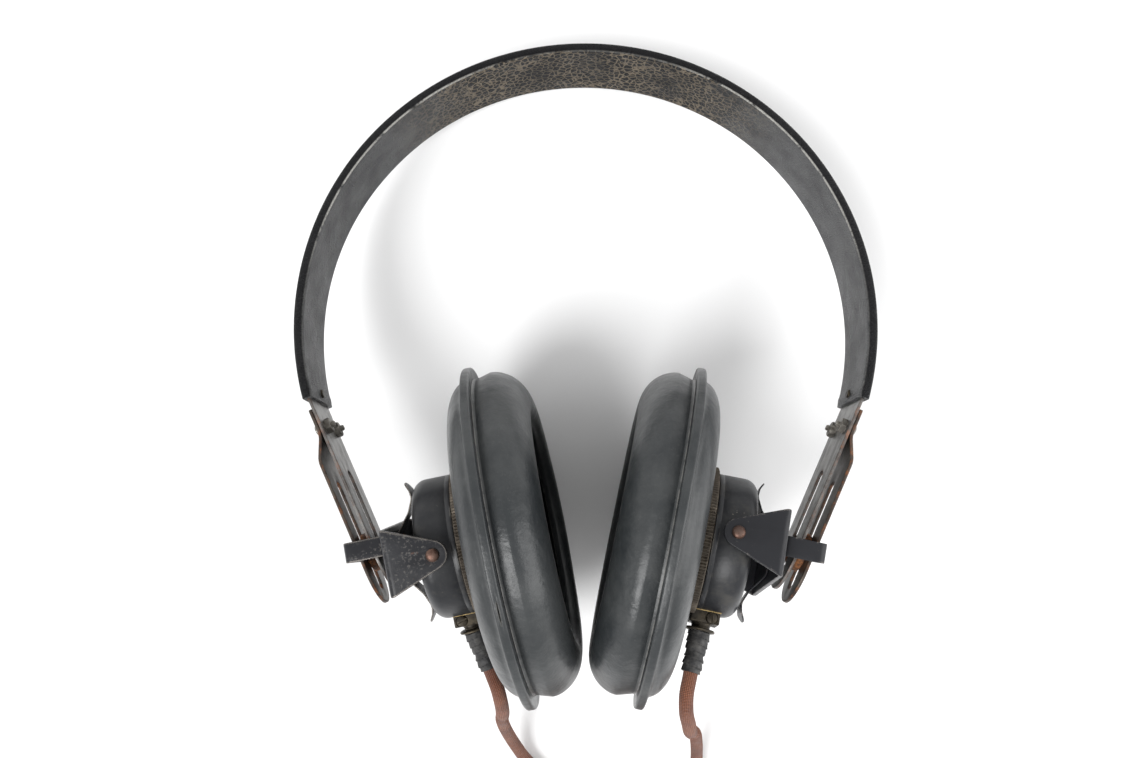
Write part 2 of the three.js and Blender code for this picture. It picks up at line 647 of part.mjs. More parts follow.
// Each tail leaves its sleeve, comes down to the table and climbs the side of the coil.
const TAIL_ROUTES = {
  left: [
    [-28.4, -90.0, 58.8], [-26.5, -94.9, 59.4], [-25.6, -99.6, 57.9], [-25.4, -104.0, 54.0],
    [-25.7, -107.7, 48.6], [-26.2, -111.2, 42.4], [-26.8, -114.7, 36.2], [-27.1, -118.5, 30.0],
    [-27.1, -122.7, 23.8], [-26.7, -127.3, 17.8], [-25.7, -132.4, 12.2], [-24.0, -137.9, 7.4],
    [-21.3, -143.6, 4.2], [-17.0, -148.8, 3.2], [-11.4, -152.4, 4.0], [-5.0, -153.9, 6.4],
    [0.4, -154.2, 9.0], [4.0, -154.0, 10.3],
  ],
  right: [
    [30.1, -87.6, 68.3], [28.9, -92.5, 70.3], [29.0, -98.0, 69.8], [30.2, -103.2, 66.2],
    [31.2, -107.4, 61.0], [32.4, -110.8, 54.8], [33.6, -113.9, 48.2], [34.8, -117.1, 41.4],
    [36.0, -120.6, 34.6], [37.2, -124.6, 27.8], [38.3, -129.1, 21.2], [39.3, -134.0, 15.0],
    [40.1, -139.6, 9.6], [40.6, -145.6, 5.6], [40.9, -151.8, 3.8], [41.1, -158.0, 4.6],
    [41.2, -163.8, 7.4], [41.2, -169.3, 10.2],
  ],
};
const TAIL_STEPS = 22;
const COIL = { x: 13, y: -186, radius: 23.75, turnsAcross: 3, turnsHigh: 3 };
const COIL_CLEARANCE = 0.15; // round the outermost turns
const SPLITTER = { angle: degrees(147), out: 25.9, length: 20, radius: 4.6 };
const PLUG = { angle: degrees(-60), out: 20, back: 4, length: 27, radius: 9, pinLength: 14, pinRadius: 2 };
const PIN_SPREAD = 5;
const TIE = { angle: degrees(210), width: 5, thickness: 0.8, slack: 0.7 };

const coilHalf = (COIL.turnsAcross * CORD_DIAMETER) / 2 + COIL_CLEARANCE;
const coilTop = COIL.turnsHigh * CORD_DIAMETER + COIL_CLEARANCE;

function cordTube(route) {
  const path = new THREE.CatmullRomCurve3(route.map((point) => new THREE.Vector3(...point)), false, 'catmullrom');
  const section = new THREE.Shape();
  section.absarc(0, 0, CORD_DIAMETER / 2, 0, 2 * Math.PI, false);
  return new THREE.ExtrudeGeometry(section, { steps: TAIL_STEPS, extrudePath: path, curveSegments: 4 });
}

// The room that the wound turns take up: a ring with its corners off, its axis along z.
function coilOfCord() {
  const [inside, outside] = [COIL.radius - coilHalf, COIL.radius + coilHalf];
  const chamfer = 1.2;
  const profile = [
    [inside + chamfer, 0], [outside - chamfer, 0], [outside, chamfer], [outside, coilTop - chamfer],
    [outside - chamfer, coilTop], [inside + chamfer, coilTop], [inside, coilTop - chamfer], [inside, chamfer],
    [inside + chamfer, 0],
  ];
  const points = profile.map(([radius, height]) => new THREE.Vector2(radius, height));
  return new THREE.LatheGeometry(points, 32).rotateX(Math.PI / 2);
}

// A frame on top of the coil whose x axis runs clockwise along the turns.
function addOnCoil(parent, angle, out, height) {
  const place = [COIL.x + out * Math.cos(angle), COIL.y + out * Math.sin(angle), height];
  return addGroup(parent, place, [0, 0, angle - Math.PI / 2]);
}

function splitter() {
  const { length, radius } = SPLITTER;
  const profile = [
    [0, -length / 2], [radius - 0.8, -length / 2], [radius, -length / 2 + 1.5], [radius, 0],
    [radius - 1.6, length / 2 - 0.8], [radius - 2, length / 2], [0, length / 2],
  ];
  return turned(profile, 16);
}

function plugBody() {
  const { length, radius } = PLUG;
  const profile = [
    [0, -length / 2], [3.4, -length / 2], [4.2, -length / 2 + 4], [radius - 1.5, -length / 2 + 9],
    [radius, -length / 2 + 12], [radius, length / 2 - 1], [radius - 1, length / 2], [0, length / 2],
  ];
  return turned(profile, 20);
}

function plugPin() {
  const { length, pinLength, pinRadius } = PLUG;
  const start = length / 2 + GAP;
  const profile = [
    [0, start], [pinRadius + 0.8, start], [pinRadius + 0.8, start + 1], [pinRadius, start + 1],
    [pinRadius, start + pinLength - 0.8], [pinRadius - 0.8, start + pinLength], [0, start + pinLength],
  ];
  return turned(profile, 12);
}

// A band over the coil and down both its sides.
function cordTie() {
  const half = coilHalf + TIE.slack;
  const top = coilTop + GAP;
  const outside = block(
    [-TIE.width / 2, -half - TIE.thickness, 0.1],
    [TIE.width / 2, half + TIE.thickness, top + TIE.thickness],
  );
  return cut(outside, block([-TIE.width, -half, -1], [TIE.width, half, top]));
}

function addCords(parent) {
  for (const side of SIDES) {
    addMesh(parent, `${side.name}_cord_tail`, cordTube(TAIL_ROUTES[side.name]), MATERIALS.cord);
  }
  addMesh(addGroup(parent, [COIL.x, COIL.y, 0]), 'main_cord_coil', coilOfCord(), MATERIALS.cord);
  const splitterHeight = coilTop + GAP + SPLITTER.radius;
  const splitterPlace = addOnCoil(parent, SPLITTER.angle, SPLITTER.out, splitterHeight);
  addMesh(splitterPlace, 'cord_splitter', splitter(), MATERIALS.tape);
  const plugPlace = addOnCoil(parent, PLUG.angle, PLUG.out, coilTop + GAP + PLUG.radius);
  addMesh(addGroup(plugPlace, [-PLUG.back, 0, 0]), 'plug_body', plugBody(), MATERIALS.bakelite);
  for (const [place, offset] of [['inner', -PIN_SPREAD], ['outer', PIN_SPREAD]]) {
    addMesh(addGroup(plugPlace, [-PLUG.back, offset, 0]), `plug_pin_${place}`, plugPin(), MATERIALS.brass);
  }
  addMesh(addOnCoil(parent, TIE.angle, COIL.radius, 0), 'cord_tie', cordTie(), MATERIALS.tape);
}

// ---------------------------------------------------------------- assembly

const model = new THREE.Group();
const lying = addGroup(model);
const ring = addGroup(lying, [0, 0, 0], [-LYING_TILT, 0, 0]);
addHeadband(ring);
for (const side of SIDES) {
  const mirrored = addArm(ring, side);
  const slider = addSlider(mirrored, side);
  addCup(addYoke(slider, side), side);
}

// The origin is under the middle of the headset, on the table.
model.updateMatrixWorld(true);
const extent = new THREE.Box3().setFromObject(lying, true);
const middle = extent.getCenter(new THREE.Vector3());
lying.position.set(-middle.x, -middle.y, -extent.min.z);
addCords(model);
model.updateMatrixWorld(true);

export default model;
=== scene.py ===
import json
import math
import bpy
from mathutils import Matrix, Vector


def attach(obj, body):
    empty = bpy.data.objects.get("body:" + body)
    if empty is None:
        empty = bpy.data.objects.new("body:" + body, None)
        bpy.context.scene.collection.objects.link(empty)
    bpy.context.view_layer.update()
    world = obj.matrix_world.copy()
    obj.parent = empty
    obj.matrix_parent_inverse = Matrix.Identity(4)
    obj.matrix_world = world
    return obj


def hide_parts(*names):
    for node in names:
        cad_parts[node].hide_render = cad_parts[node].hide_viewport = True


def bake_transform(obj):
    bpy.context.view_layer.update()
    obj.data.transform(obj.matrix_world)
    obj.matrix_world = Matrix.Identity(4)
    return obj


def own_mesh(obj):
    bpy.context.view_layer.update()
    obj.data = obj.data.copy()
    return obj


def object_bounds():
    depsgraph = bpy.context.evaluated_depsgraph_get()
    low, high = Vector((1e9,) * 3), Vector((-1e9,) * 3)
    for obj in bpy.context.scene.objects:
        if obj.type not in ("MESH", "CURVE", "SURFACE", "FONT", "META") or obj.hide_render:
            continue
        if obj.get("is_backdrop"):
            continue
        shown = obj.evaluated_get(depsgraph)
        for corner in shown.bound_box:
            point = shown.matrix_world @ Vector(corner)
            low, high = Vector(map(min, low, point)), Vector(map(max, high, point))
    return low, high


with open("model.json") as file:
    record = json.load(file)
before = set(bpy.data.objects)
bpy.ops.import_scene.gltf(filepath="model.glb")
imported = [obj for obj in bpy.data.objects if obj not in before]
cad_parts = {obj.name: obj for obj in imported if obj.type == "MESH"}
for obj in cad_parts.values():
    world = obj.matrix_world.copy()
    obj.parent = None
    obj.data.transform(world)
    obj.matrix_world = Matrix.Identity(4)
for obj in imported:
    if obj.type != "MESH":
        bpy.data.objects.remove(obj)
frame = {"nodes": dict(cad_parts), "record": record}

# The looks of a double radio headphone lying on its back on a pale table: leather-covered spring band,
# slotted strips, sliders, yokes, receivers in rubber ear cups, and braided cords wound up below it.
# Lengths are in millimetres in each piece's own frame, and MM turns them into the row frame's metres.

from types import SimpleNamespace

import bmesh
import bpy
from mathutils import Matrix, Vector, noise

CAD_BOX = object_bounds()
MM = 0.001
GAP = 0.3  # between pieces that touch

# ---------------------------------------------------------------- camera, floor and light

CAMERA_PLACE = (-0.0047, 0.026585, 0.348482)
CAMERA_PITCH = math.radians(-5.63)
CAMERA_LENS = 31.58
CAMERA_SENSOR = 36.0
FLOOR_HALF = 10.0

scene = bpy.context.scene


def add_camera():
    data = bpy.data.cameras.new("camera")
    data.lens = CAMERA_LENS
    data.sensor_width = CAMERA_SENSOR
    data.clip_start = 0.01
    camera = bpy.data.objects.new("camera", data)
    camera.location = CAMERA_PLACE
    camera.rotation_euler = (CAMERA_PITCH, 0, 0)
    scene.collection.objects.link(camera)
    scene.camera = camera


add_camera()

# ---------------------------------------------------------------- dimensions, as in the CAD part

BAND_RADIUS = 86.1
BAND_END = math.radians(-16.6)
COVER_THICKNESS = 3.0
COVER_WIDTH = 27.5
STRIP_THICKNESS = 0.9
STRIP_WIDTH = 22.0
ARM_LEAN = math.radians(24.8)
ARM_LENGTH = 61.8
SLOT_WIDTH = 5.0
INNER_SLOT = (23.0, 57.5)
OUTER_SLOT = (24.7, 60.0)
OUTER_START = 3.0
OUTER_LENGTH = 64.2
OUTER_BEND = (11.5, 18.5)
STRIP_SPACING = 4.4
STRIP_NEAR = STRIP_THICKNESS + GAP
SCREW_PLACE = 9.0
SCREW_SPREAD = 6.0
SCREW_RADIUS = 1.0
SCREW_HEAD_RADIUS = 1.75
NUT_RADIUS = 2.5
NUT_THICKNESS = 1.8
RIVET_ANGLE = math.radians(-14.9)
SLIDER_PLACE = 48.5
STIRRUP_HEIGHT = 5.8
STIRRUP_INSIDE = 24.8
STIRRUP_THICKNESS = 1.2
STIRRUP_END = 7.9
DISC_RADIUS = 6.0
BOLT_RADIUS = 1.5
BOLT_HEAD_RADIUS = 2.8
YOKE_LEAN = math.radians(11.5)
PIVOT_IN = 19.1
PIVOT_DOWN = 3.5
PLATE_INSIDE = 12.7
SHEET = 1.2
PLATE_HALF_HEIGHT = 9.5
EAR_INSIDE = 23.3
EAR_TIP_RADIUS = 4.1
PIVOT_RADIUS = 1.2
PIVOT_HEAD_RADIUS = 1.9
SPRING_THICKNESS = 0.45
SPRING_WIDTH = 8.0
FLANGE_PLACE = -17.7
FLANGE_RADIUS = 51.5
FLANGE_THICKNESS = 2.7
REAR_RADIUS = 47.8
REAR_DEPTH = 7.7
REAR_CORNER = (11.0, 6.8)
RUBBER_WALL = 3.0
CUSHION_RADIUS = 48.8
CUSHION_NECK_RADIUS = 47.5
CUSHION_DEPTH = 17.6
EAR_OPENING_RADIUS = 34.0
LIP_RADIUS = 3.2
CUSHION_SETTLING = 1.7
CAN_RADIUS = 21.0
CAN_BACK = 5.6
CAN_MOUTH = -6.4
CAN_WALL = 1.2
CAN_CORNER = 4.0
RING_RADIUS = 22.8
RING_WIDTH = 3.0
RING_TEETH = 150
CAP_RADIUS = 21.3
NECK_RADIUS = 18.0
CORD_DIAMETER = 4.3
BLOCK = SimpleNamespace(start=-7.7, end=0.8, bottom=-24.0, half=4.5, entry=-4.0, screw=-1.6)
SLEEVE_LENGTH = 12.0
SLEEVE_RADIUS = (3.65, 2.6)
NIPPLE_RADIUS = 4.4
NIPPLE_THICKNESS = 1.6
LYING_TILT = math.radians(14.5)
LYING_PLACE = (0.0, 12.630, 35.714)
SIDES = [
    SimpleNamespace(name="left", mirror=-1, yaw=math.radians(1.5), play=-0.5, swivel=math.radians(5),
                    lean=math.radians(-11)),
    SimpleNamespace(name="right", mirror=1, yaw=math.radians(-3), play=0.7, swivel=math.radians(-10),
                    lean=math.radians(-3)),
]

ARM_START = (BAND_RADIUS * math.cos(BAND_END), BAND_RADIUS * math.sin(BAND_END))
STIRRUP_START = PLATE_INSIDE + SHEET - PIVOT_IN + GAP
ROUND = 2 * math.pi

# ---------------------------------------------------------------- frames


def shift(x, y, z):
    return Matrix.Translation((x, y, z))


def turn(angle, axis):
    return Matrix.Rotation(angle, 4, axis)


TABLE = Matrix.Scale(MM, 4)
# A folded sheet lies in x and z with its width along y. This turns it to lie in x and y, its width along z.
UPRIGHT = Matrix(((1, 0, 0, 0), (0, 0, 1, 0), (0, -1, 0, 0), (0, 0, 0, 1)))
RING = TABLE @ shift(*LYING_PLACE) @ turn(-LYING_TILT, "X")


def mirrored(side):
    """The band's frame: origin in the middle of its circle, x outwards on this side, y to the crown."""
    return RING @ Matrix.Diagonal((side.mirror, 1, 1, 1))


def arm_frame(side):
    """Origin at the end of the leather, x outwards from the strip, y up along it."""
    return mirrored(side) @ shift(*ARM_START, 0) @ turn(-ARM_LEAN, "Z")


def slider_frame(side):
    x = ARM_START[0] - SLIDER_PLACE * math.sin(ARM_LEAN)
    y = ARM_START[1] - SLIDER_PLACE * math.cos(ARM_LEAN)
    return mirrored(side) @ shift(x, y, side.play) @ turn(side.yaw, "Y") @ turn(-YOKE_LEAN, "Z")


def cup_frame(side):
    """Origin between the two pivot rivets, x outwards along the ear cup's axis."""
    return slider_frame(side) @ turn(side.swivel, "X") @ shift(-PIVOT_IN, -PIVOT_DOWN, 0)


# ---------------------------------------------------------------- making pieces

BODY_OF = {node: body for body, nodes in frame["record"]["behaviour"]["bodies"].items() for node in nodes}


def add_object(name, mesh, material, sharp=35):
    mesh.materials.append(material)
    mesh.shade_smooth()
    mesh.set_sharp_from_angle(angle=math.radians(sharp))
    piece = bpy.data.objects.new(name, mesh)
    scene.collection.objects.link(piece)
    return piece


def to_mesh(name, bm, matrix):
    bm.transform(matrix)
    bmesh.ops.recalc_face_normals(bm, faces=bm.faces)
    mesh = bpy.data.meshes.new(name)
    bm.to_mesh(mesh)
    bm.free()
    return mesh


def stand_for(node, bm, matrix, material, suffix="detail", sharp=35):
    """Adds a finely made piece in place of a CAD node, on the same body."""
    name = f"{node}_{suffix}"
    piece = add_object(name, to_mesh(name, bm, matrix), material, sharp)
    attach(piece, BODY_OF[node])
    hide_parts(node)
    return piece


def arc(centre, radius, start, end, steps):
    """Points (x, y) round a centre, from one angle in degrees to another. radius is one number or two."""
    across, along = radius if isinstance(radius, tuple) else (radius, radius)
    points = []
    for i in range(steps + 1):
        angle = math.radians(start + (end - start) * i / steps)
        points.append((centre[0] + across * math.cos(angle), centre[1] + along * math.sin(angle)))
    return points


def bridge(bm, rings, closed):
    """Faces between neighbouring rings of vertices. A ring of one vertex makes a fan."""
    pairs = list(zip(rings, rings[1:]))
    if closed:
        pairs.append((rings[-1], rings[0]))
    for a, b in pairs:
        count = max(len(a), len(b))
        for i in range(count):
            j = (i + 1) % count
            corners = [a[i % len(a)], a[j % len(a)], b[j % len(b)], b[i % len(b)]]
            corners = [v for k, v in enumerate(corners) if v is not corners[k - 1]]
            if len(corners) > 2:
                bm.faces.new(corners)


def lathe(profile, steps=96, closed=False, warp=None):
    """Turns (radius, place) pairs about the x axis. warp(radius, place, angle) may change the first two."""
    bm = bmesh.new()
    rings = []
    for radius, place in profile:
        if radius == 0:
            rings.append([bm.verts.new((place, 0, 0))])
            continue
        ring = []
        for i in range(steps):
            angle = ROUND * i / steps
            r, x = warp(radius, place, angle) if warp else (radius, place)
            ring.append(bm.verts.new((x, r * math.cos(angle), r * math.sin(angle))))
        rings.append(ring)
    bridge(bm, rings, closed)
    return bm


def flat_sheet(outline, holes, thickness, easing):
    """A flat sheet in x and y with rounded edges, its middle on z = 0."""
    curve = bpy.data.curves.new("outline", "CURVE")
    curve.dimensions = "2D"
    curve.fill_mode = "BOTH"
    curve.extrude = thickness / 2 - easing
    curve.bevel_depth = easing
    curve.bevel_resolution = 2
    curve.offset = -easing
    for points in [outline, *holes]:
        spline = curve.splines.new("POLY")
        spline.points.add(len(points) - 1)
        for point, (x, y) in zip(spline.points, points):
            point.co = (x, y, 0, 1)
        spline.use_cyclic_u = True
    holder = bpy.data.objects.new("outline", curve)
    scene.collection.objects.link(holder)
    bpy.context.view_layer.update()
    mesh = bpy.data.meshes.new_from_object(holder)
    bm = bmesh.new()
    bm.from_mesh(mesh)
    bpy.data.objects.remove(holder)
    bpy.data.curves.remove(curve)
    bpy.data.meshes.remove(mesh)
    bmesh.ops.remove_doubles(bm, verts=bm.verts, dist=1e-4)
    return bm


def bent_sheet(outline, holes, thickness, easing, cuts, fold):
    """A flat sheet cut across at each x in cuts, and then folded: fold(x, z) gives where its middle goes."""
    bm = flat_sheet(outline, holes, thickness, easing)
    for place in cuts:
        geometry = [*bm.verts, *bm.edges, *bm.faces]
        bmesh.ops.bisect_plane(bm, geom=geometry, plane_co=(place, 0, 0), plane_no=(1, 0, 0), dist=1e-5)
    for vertex in bm.verts:
        across, along = fold(vertex.co.x, vertex.co.z)
        vertex.co = (across, vertex.co.y, along)
    return bm


class Fold:
    """A line in a plane, from rounded corners, that a sheet follows. Called with (distance, offset)."""

    def __init__(self, corners, radius, steps=6):
        points = [Vector(corners[0])]
        for before, corner, after in zip(corners, corners[1:], corners[2:]):
            corner, before, after = Vector(corner), Vector(before), Vector(after)
            into, out = (corner - before).normalized(), (after - corner).normalized()
            reach = radius * math.tan(math.acos(max(-1, min(1, into.dot(out)))) / 2)
            for i in range(steps + 1):
                t = i / steps
                start, end = corner - into * reach, corner + out * reach
                points.append(start.lerp(corner, t).lerp(corner.lerp(end, t), t))
        points.append(Vector(corners[-1]))
        self.points = points
        self.places = [0.0]
        for a, b in zip(points, points[1:]):
            self.places.append(self.places[-1] + (b - a).length)

    @property
    def length(self):
        return self.places[-1]

    def cuts(self):
        return self.places[1:-1]

    def tangent(self, i):
        a, b = self.points[max(i - 1, 0)], self.points[min(i + 1, len(self.points) - 1)]
        return (b - a).normalized()

    def __call__(self, distance, offset):
        last = len(self.places) - 2
        i = 0
        while i < last and self.places[i + 1] < distance:
            i += 1
        a, b = self.points[i], self.points[i + 1]
        t = (distance - self.places[i]) / (self.places[i + 1] - self.places[i])
        point = a.lerp(b, t)
        direction = self.tangent(i).lerp(self.tangent(i + 1), max(0, min(1, t))).normalized()
        return point.x - direction.y * offset, point.y + direction.x * offset


def carved(bm, cutter):
    """bm with cutter taken away."""
    whole = bpy.data.objects.new("whole", to_mesh("whole", bm, Matrix.Identity(4)))
    tool = bpy.data.objects.new("tool", to_mesh("tool", cutter, Matrix.Identity(4)))
    for holder in (whole, tool):
        scene.collection.objects.link(holder)
    modifier = whole.modifiers.new("cut", "BOOLEAN")
    modifier.object = tool
    modifier.operation = "DIFFERENCE"
    modifier.solver = "EXACT"
    bpy.context.view_layer.update()
    result = bmesh.new()
    result.from_mesh(whole.evaluated_get(bpy.context.evaluated_depsgraph_get()).to_mesh())
    for holder in (whole, tool):
        mesh = holder.data
        bpy.data.objects.remove(holder)
        bpy.data.meshes.remove(mesh)
    return result


def block(low, high, easing=0.0):
    bm = bmesh.new()
    bmesh.ops.create_cube(bm, size=1)
    for vertex in bm.verts:
        vertex.co = [lo + (hi - lo) * (c + 0.5) for lo, hi, c in zip(low, high, vertex.co)]
    if easing:
        bmesh.ops.bevel(bm, geom=bm.edges, offset=easing, segments=3, profile=0.5, affect="EDGES")
    return bm


def joined(*parts):
    """Several loose shells as one mesh."""
    result = bmesh.new()
    for part in parts:
        mesh = bpy.data.meshes.new("part")
        part.to_mesh(mesh)
        part.free()
        result.from_mesh(mesh)
        bpy.data.meshes.remove(mesh)
    return result


def circle(x, y, radius, steps=32):
    return [(x + radius * math.cos(ROUND * i / steps), y + radius * math.sin(ROUND * i / steps))
            for i in range(steps)]


# ---------------------------------------------------------------- materials


class Surface:
    """A material's nodes, built round one Principled shader."""

    def __init__(self, name, colour, roughness, metallic=0.0, specular=0.5):
        self.material = bpy.data.materials.new(name)
        self.material.use_nodes = True
        self.tree = self.material.node_tree
        self.shader = self.tree.nodes["Principled BSDF"]
        self.shader.inputs["Base Color"].default_value = (*colour, 1)
        self.shader.inputs["Roughness"].default_value = roughness
        self.shader.inputs["Metallic"].default_value = metallic
        self.shader.inputs["Specular IOR Level"].default_value = specular
        self.place = self.node("TexCoord").outputs["Object"]

    def node(self, kind, inputs=None, **settings):
        made = self.tree.nodes.new(f"ShaderNode{kind}")
        for name, value in settings.items():
            setattr(made, name, value)
        for name, value in (inputs or {}).items():
            self.feed(made.inputs[name], value)
        return made

    def feed(self, socket, value):
        if isinstance(value, bpy.types.NodeSocket):
            self.tree.links.new(value, socket)
        elif isinstance(value, tuple) and len(value) == 3 and socket.type == "RGBA":
            socket.default_value = (*value, 1)
        else:
            socket.default_value = value

    def noise(self, scale, detail=4.0, roughness=0.55, place=None):
        inputs = {"Vector": place or self.place, "Scale": scale, "Detail": detail, "Roughness": roughness}
        return self.node("TexNoise", inputs).outputs["Fac"]

    def cells(self, scale, feature="DISTANCE_TO_EDGE", place=None):
        inputs = {"Vector": place or self.place, "Scale": scale}
        return self.node("TexVoronoi", inputs, feature=feature).outputs["Distance"]

    def step(self, value, low, high, to=(0.0, 1.0)):
        """Goes smoothly from to[0] where value is low, to to[1] where it is high."""
        inputs = {"Value": value, "From Min": low, "From Max": high, "To Min": to[0], "To Max": to[1]}
        return self.node("MapRange", inputs, interpolation_type="SMOOTHSTEP").outputs["Result"]

    def maths(self, operation, a, b=0.0):
        made = self.node("Math", {0: a, 1: b}, operation=operation)
        made.use_clamp = operation in ("ADD", "SUBTRACT", "MULTIPLY")
        return made.outputs["Value"]

    def free_maths(self, operation, a, b=0.0):
        return self.node("Math", {0: a, 1: b}, operation=operation).outputs["Value"]

    def mix(self, a, b, share):
        made = self.node("Mix", data_type="RGBA")
        self.feed(made.inputs[0], share)
        self.feed(made.inputs[6], a)
        self.feed(made.inputs[7], b)
        return made.outputs[2]

    def edges(self, radius):
        """1 along the piece's sharp edges, to about radius metres from them, and 0 elsewhere."""
        rounded = self.node("Bevel", {"Radius": radius}, samples=6).outputs["Normal"]
        normal = self.node("NewGeometry").outputs["Normal"]
        same = self.node("VectorMath", {0: rounded, 1: normal}, operation="DOT_PRODUCT").outputs["Value"]
        return self.step(same, 0.995, 0.86)

    def bump(self, *layers):
        """Each layer is (height, metres)."""
        normal = None
        for height, distance in layers:
            inputs = {"Height": height, "Distance": distance, "Strength": 1.0}
            if normal:
                inputs["Normal"] = normal
            normal = self.node("Bump", inputs).outputs["Normal"]
        self.feed(self.shader.inputs["Normal"], normal)

    def set(self, **inputs):
        for name, value in inputs.items():
            self.feed(self.shader.inputs[name.replace("_", " ").title()], value)


def rubber_material():
    s = Surface("moulded_rubber", (0.05, 0.056, 0.06), 0.42)
    cloud = s.step(s.noise(45, 6, 0.65), 0.36, 0.68)
    fine = s.noise(1100, 4, 0.75)
    colour = s.mix((0.017, 0.020, 0.022), (0.040, 0.043, 0.044), cloud)
    colour = s.mix(colour, (0.10, 0.10, 0.096), s.maths("MULTIPLY", s.step(fine, 0.56, 0.76), 0.3))
    worn = s.maths("MULTIPLY", s.edges(0.0009), s.step(s.noise(330, 4, 0.7), 0.3, 0.6))
    colour = s.mix(colour, (0.17, 0.165, 0.155), s.maths("MULTIPLY", worn, 0.7))
    s.set(base_color=colour, roughness=s.step(s.noise(60, 6, 0.7), 0.3, 0.75, (0.30, 0.46)))
    s.bump((s.noise(150, 3), 0.0004), (fine, 0.00006))
    return s.material


def leather_material():
    """Fine-grained black hide. Its finish has cracked over the crown. Along the front edge runs a light line,
    partly rubbed wear and partly painted highlight.
    """
    s = Surface("grained_leather", (0.03, 0.03, 0.03), 0.5)
    spot = s.node("SeparateXYZ", {"Vector": s.node("UVMap", uv_map="cover").outputs["UV"]})
    along, around = spot.outputs["X"], spot.outputs["Y"]
    from_crown = s.free_maths("ABSOLUTE", s.free_maths("SUBTRACT", along, BAND_RADIUS * math.pi / 2))
    crown = s.step(from_crown, 75.0, 35.0)
    waver = s.node("TexNoise", {"Vector": s.place, "Scale": 500.0}).outputs["Color"]
    wavy = s.node("VectorMath", {0: waver, 1: (0.0006, 0.0006, 0.0006), 2: s.place}, operation="MULTIPLY_ADD")
    cracks = s.step(s.cells(520, place=wavy.outputs["Vector"]), 0.14, 0.03)
    grain = s.cells(2100, "F1", wavy.outputs["Vector"])
    patches = s.step(s.noise(60, 4), 0.28, 0.55, (0.25, 1.0))
    from_inner_middle = s.free_maths("ABSOLUTE", s.free_maths("SUBTRACT", around, SECTION_LENGTH / 2))
    rim = s.step(from_inner_middle, INNER_HALF - 0.3, INNER_HALF + 0.6)
    inner_face = s.step(from_inner_middle, INNER_HALF + 0.6, INNER_HALF - 0.3)
    cracked = s.maths("MULTIPLY", s.maths("MULTIPLY", cracks, inner_face), s.maths("MULTIPLY", crown, patches))
    colour = s.mix((0.034, 0.035, 0.037), (0.062, 0.063, 0.065), s.step(s.noise(120, 5), 0.35, 0.65))
    colour = s.mix(colour, (0.075, 0.076, 0.078), s.step(grain, 0.5, 0.9, (0.0, 0.6)))
    colour = s.mix(colour, (0.011, 0.011, 0.012), s.maths("MULTIPLY", crown, 0.92))
    colour = s.mix(colour, (0.22, 0.18, 0.13), s.maths("MULTIPLY", cracked, 0.85))
    colour = s.mix(colour, (0.010, 0.010, 0.011), s.maths("MULTIPLY", rim, 0.9))
    # A light grey line on the front edge's inner corner: partly rubbed wear, partly painted highlight, fading
    # towards the crown and the band's ends.
    away = s.free_maths("ABSOLUTE", s.free_maths("SUBTRACT", around, SECTION_LENGTH / 2 - INNER_HALF))
    line = s.maths("MULTIPLY", s.step(away, 0.5, 0.12), s.step(s.noise(160, 6, 0.75), 0.36, 0.5))
    line = s.maths("MULTIPLY", line, s.step(from_crown, 18.0, 55.0, (0.2, 1.0)))
    line = s.maths("MULTIPLY", line, s.step(from_crown, 125.0, 95.0, (0.12, 1.0)))
    colour = s.mix(colour, (0.46, 0.45, 0.42), s.maths("MULTIPLY", line, 0.85))
    s.set(base_color=colour, roughness=s.step(s.noise(90, 4), 0.3, 0.7, (0.34, 0.50)))
    dull = s.maths("MAXIMUM", s.maths("MULTIPLY", crown, 0.9), rim)
    s.feed(s.shader.inputs["Specular IOR Level"], s.step(dull, 0.0, 1.0, (0.42, 0.1)))
    s.bump((s.noise(110, 3, 0.5), 0.0005), (grain, 0.0006), (cracked, -0.0002))
    return s.material


def strip_material(name, dark, light, rusting):
    """Rolled steel that rusts from its cut edges."""
    s = Surface(name, dark, 0.4, 0.8)
    edge = s.edges(0.0014)
    patchy = s.step(s.noise(260, 5, 0.65), 0.36, 0.58)
    spots = s.step(s.noise(110, 6, 0.7), 0.70 - rusting, 0.8 - rusting)
    rust = s.maths("MAXIMUM", s.maths("MULTIPLY", edge, patchy), spots)
    rust_colour = s.mix((0.045, 0.020, 0.012), (0.33, 0.11, 0.03), s.step(s.noise(420, 4), 0.45, 0.7))
    colour = s.mix(light, dark, s.step(s.noise(130, 6, 0.65), 0.38, 0.62))
    colour = s.mix(colour, (0.03, 0.026, 0.023), s.maths("MULTIPLY", edge, 0.75))
    colour = s.mix(colour, rust_colour, rust)
    s.set(base_color=colour, metallic=s.step(rust, 0.1, 0.8, (0.75, 0.1)))
    s.set(roughness=s.step(rust, 0.1, 0.8, (0.38, 0.75)))
    s.bump((s.noise(700, 5, 0.7), 0.00005), (rust, 0.00004))
    return s.material


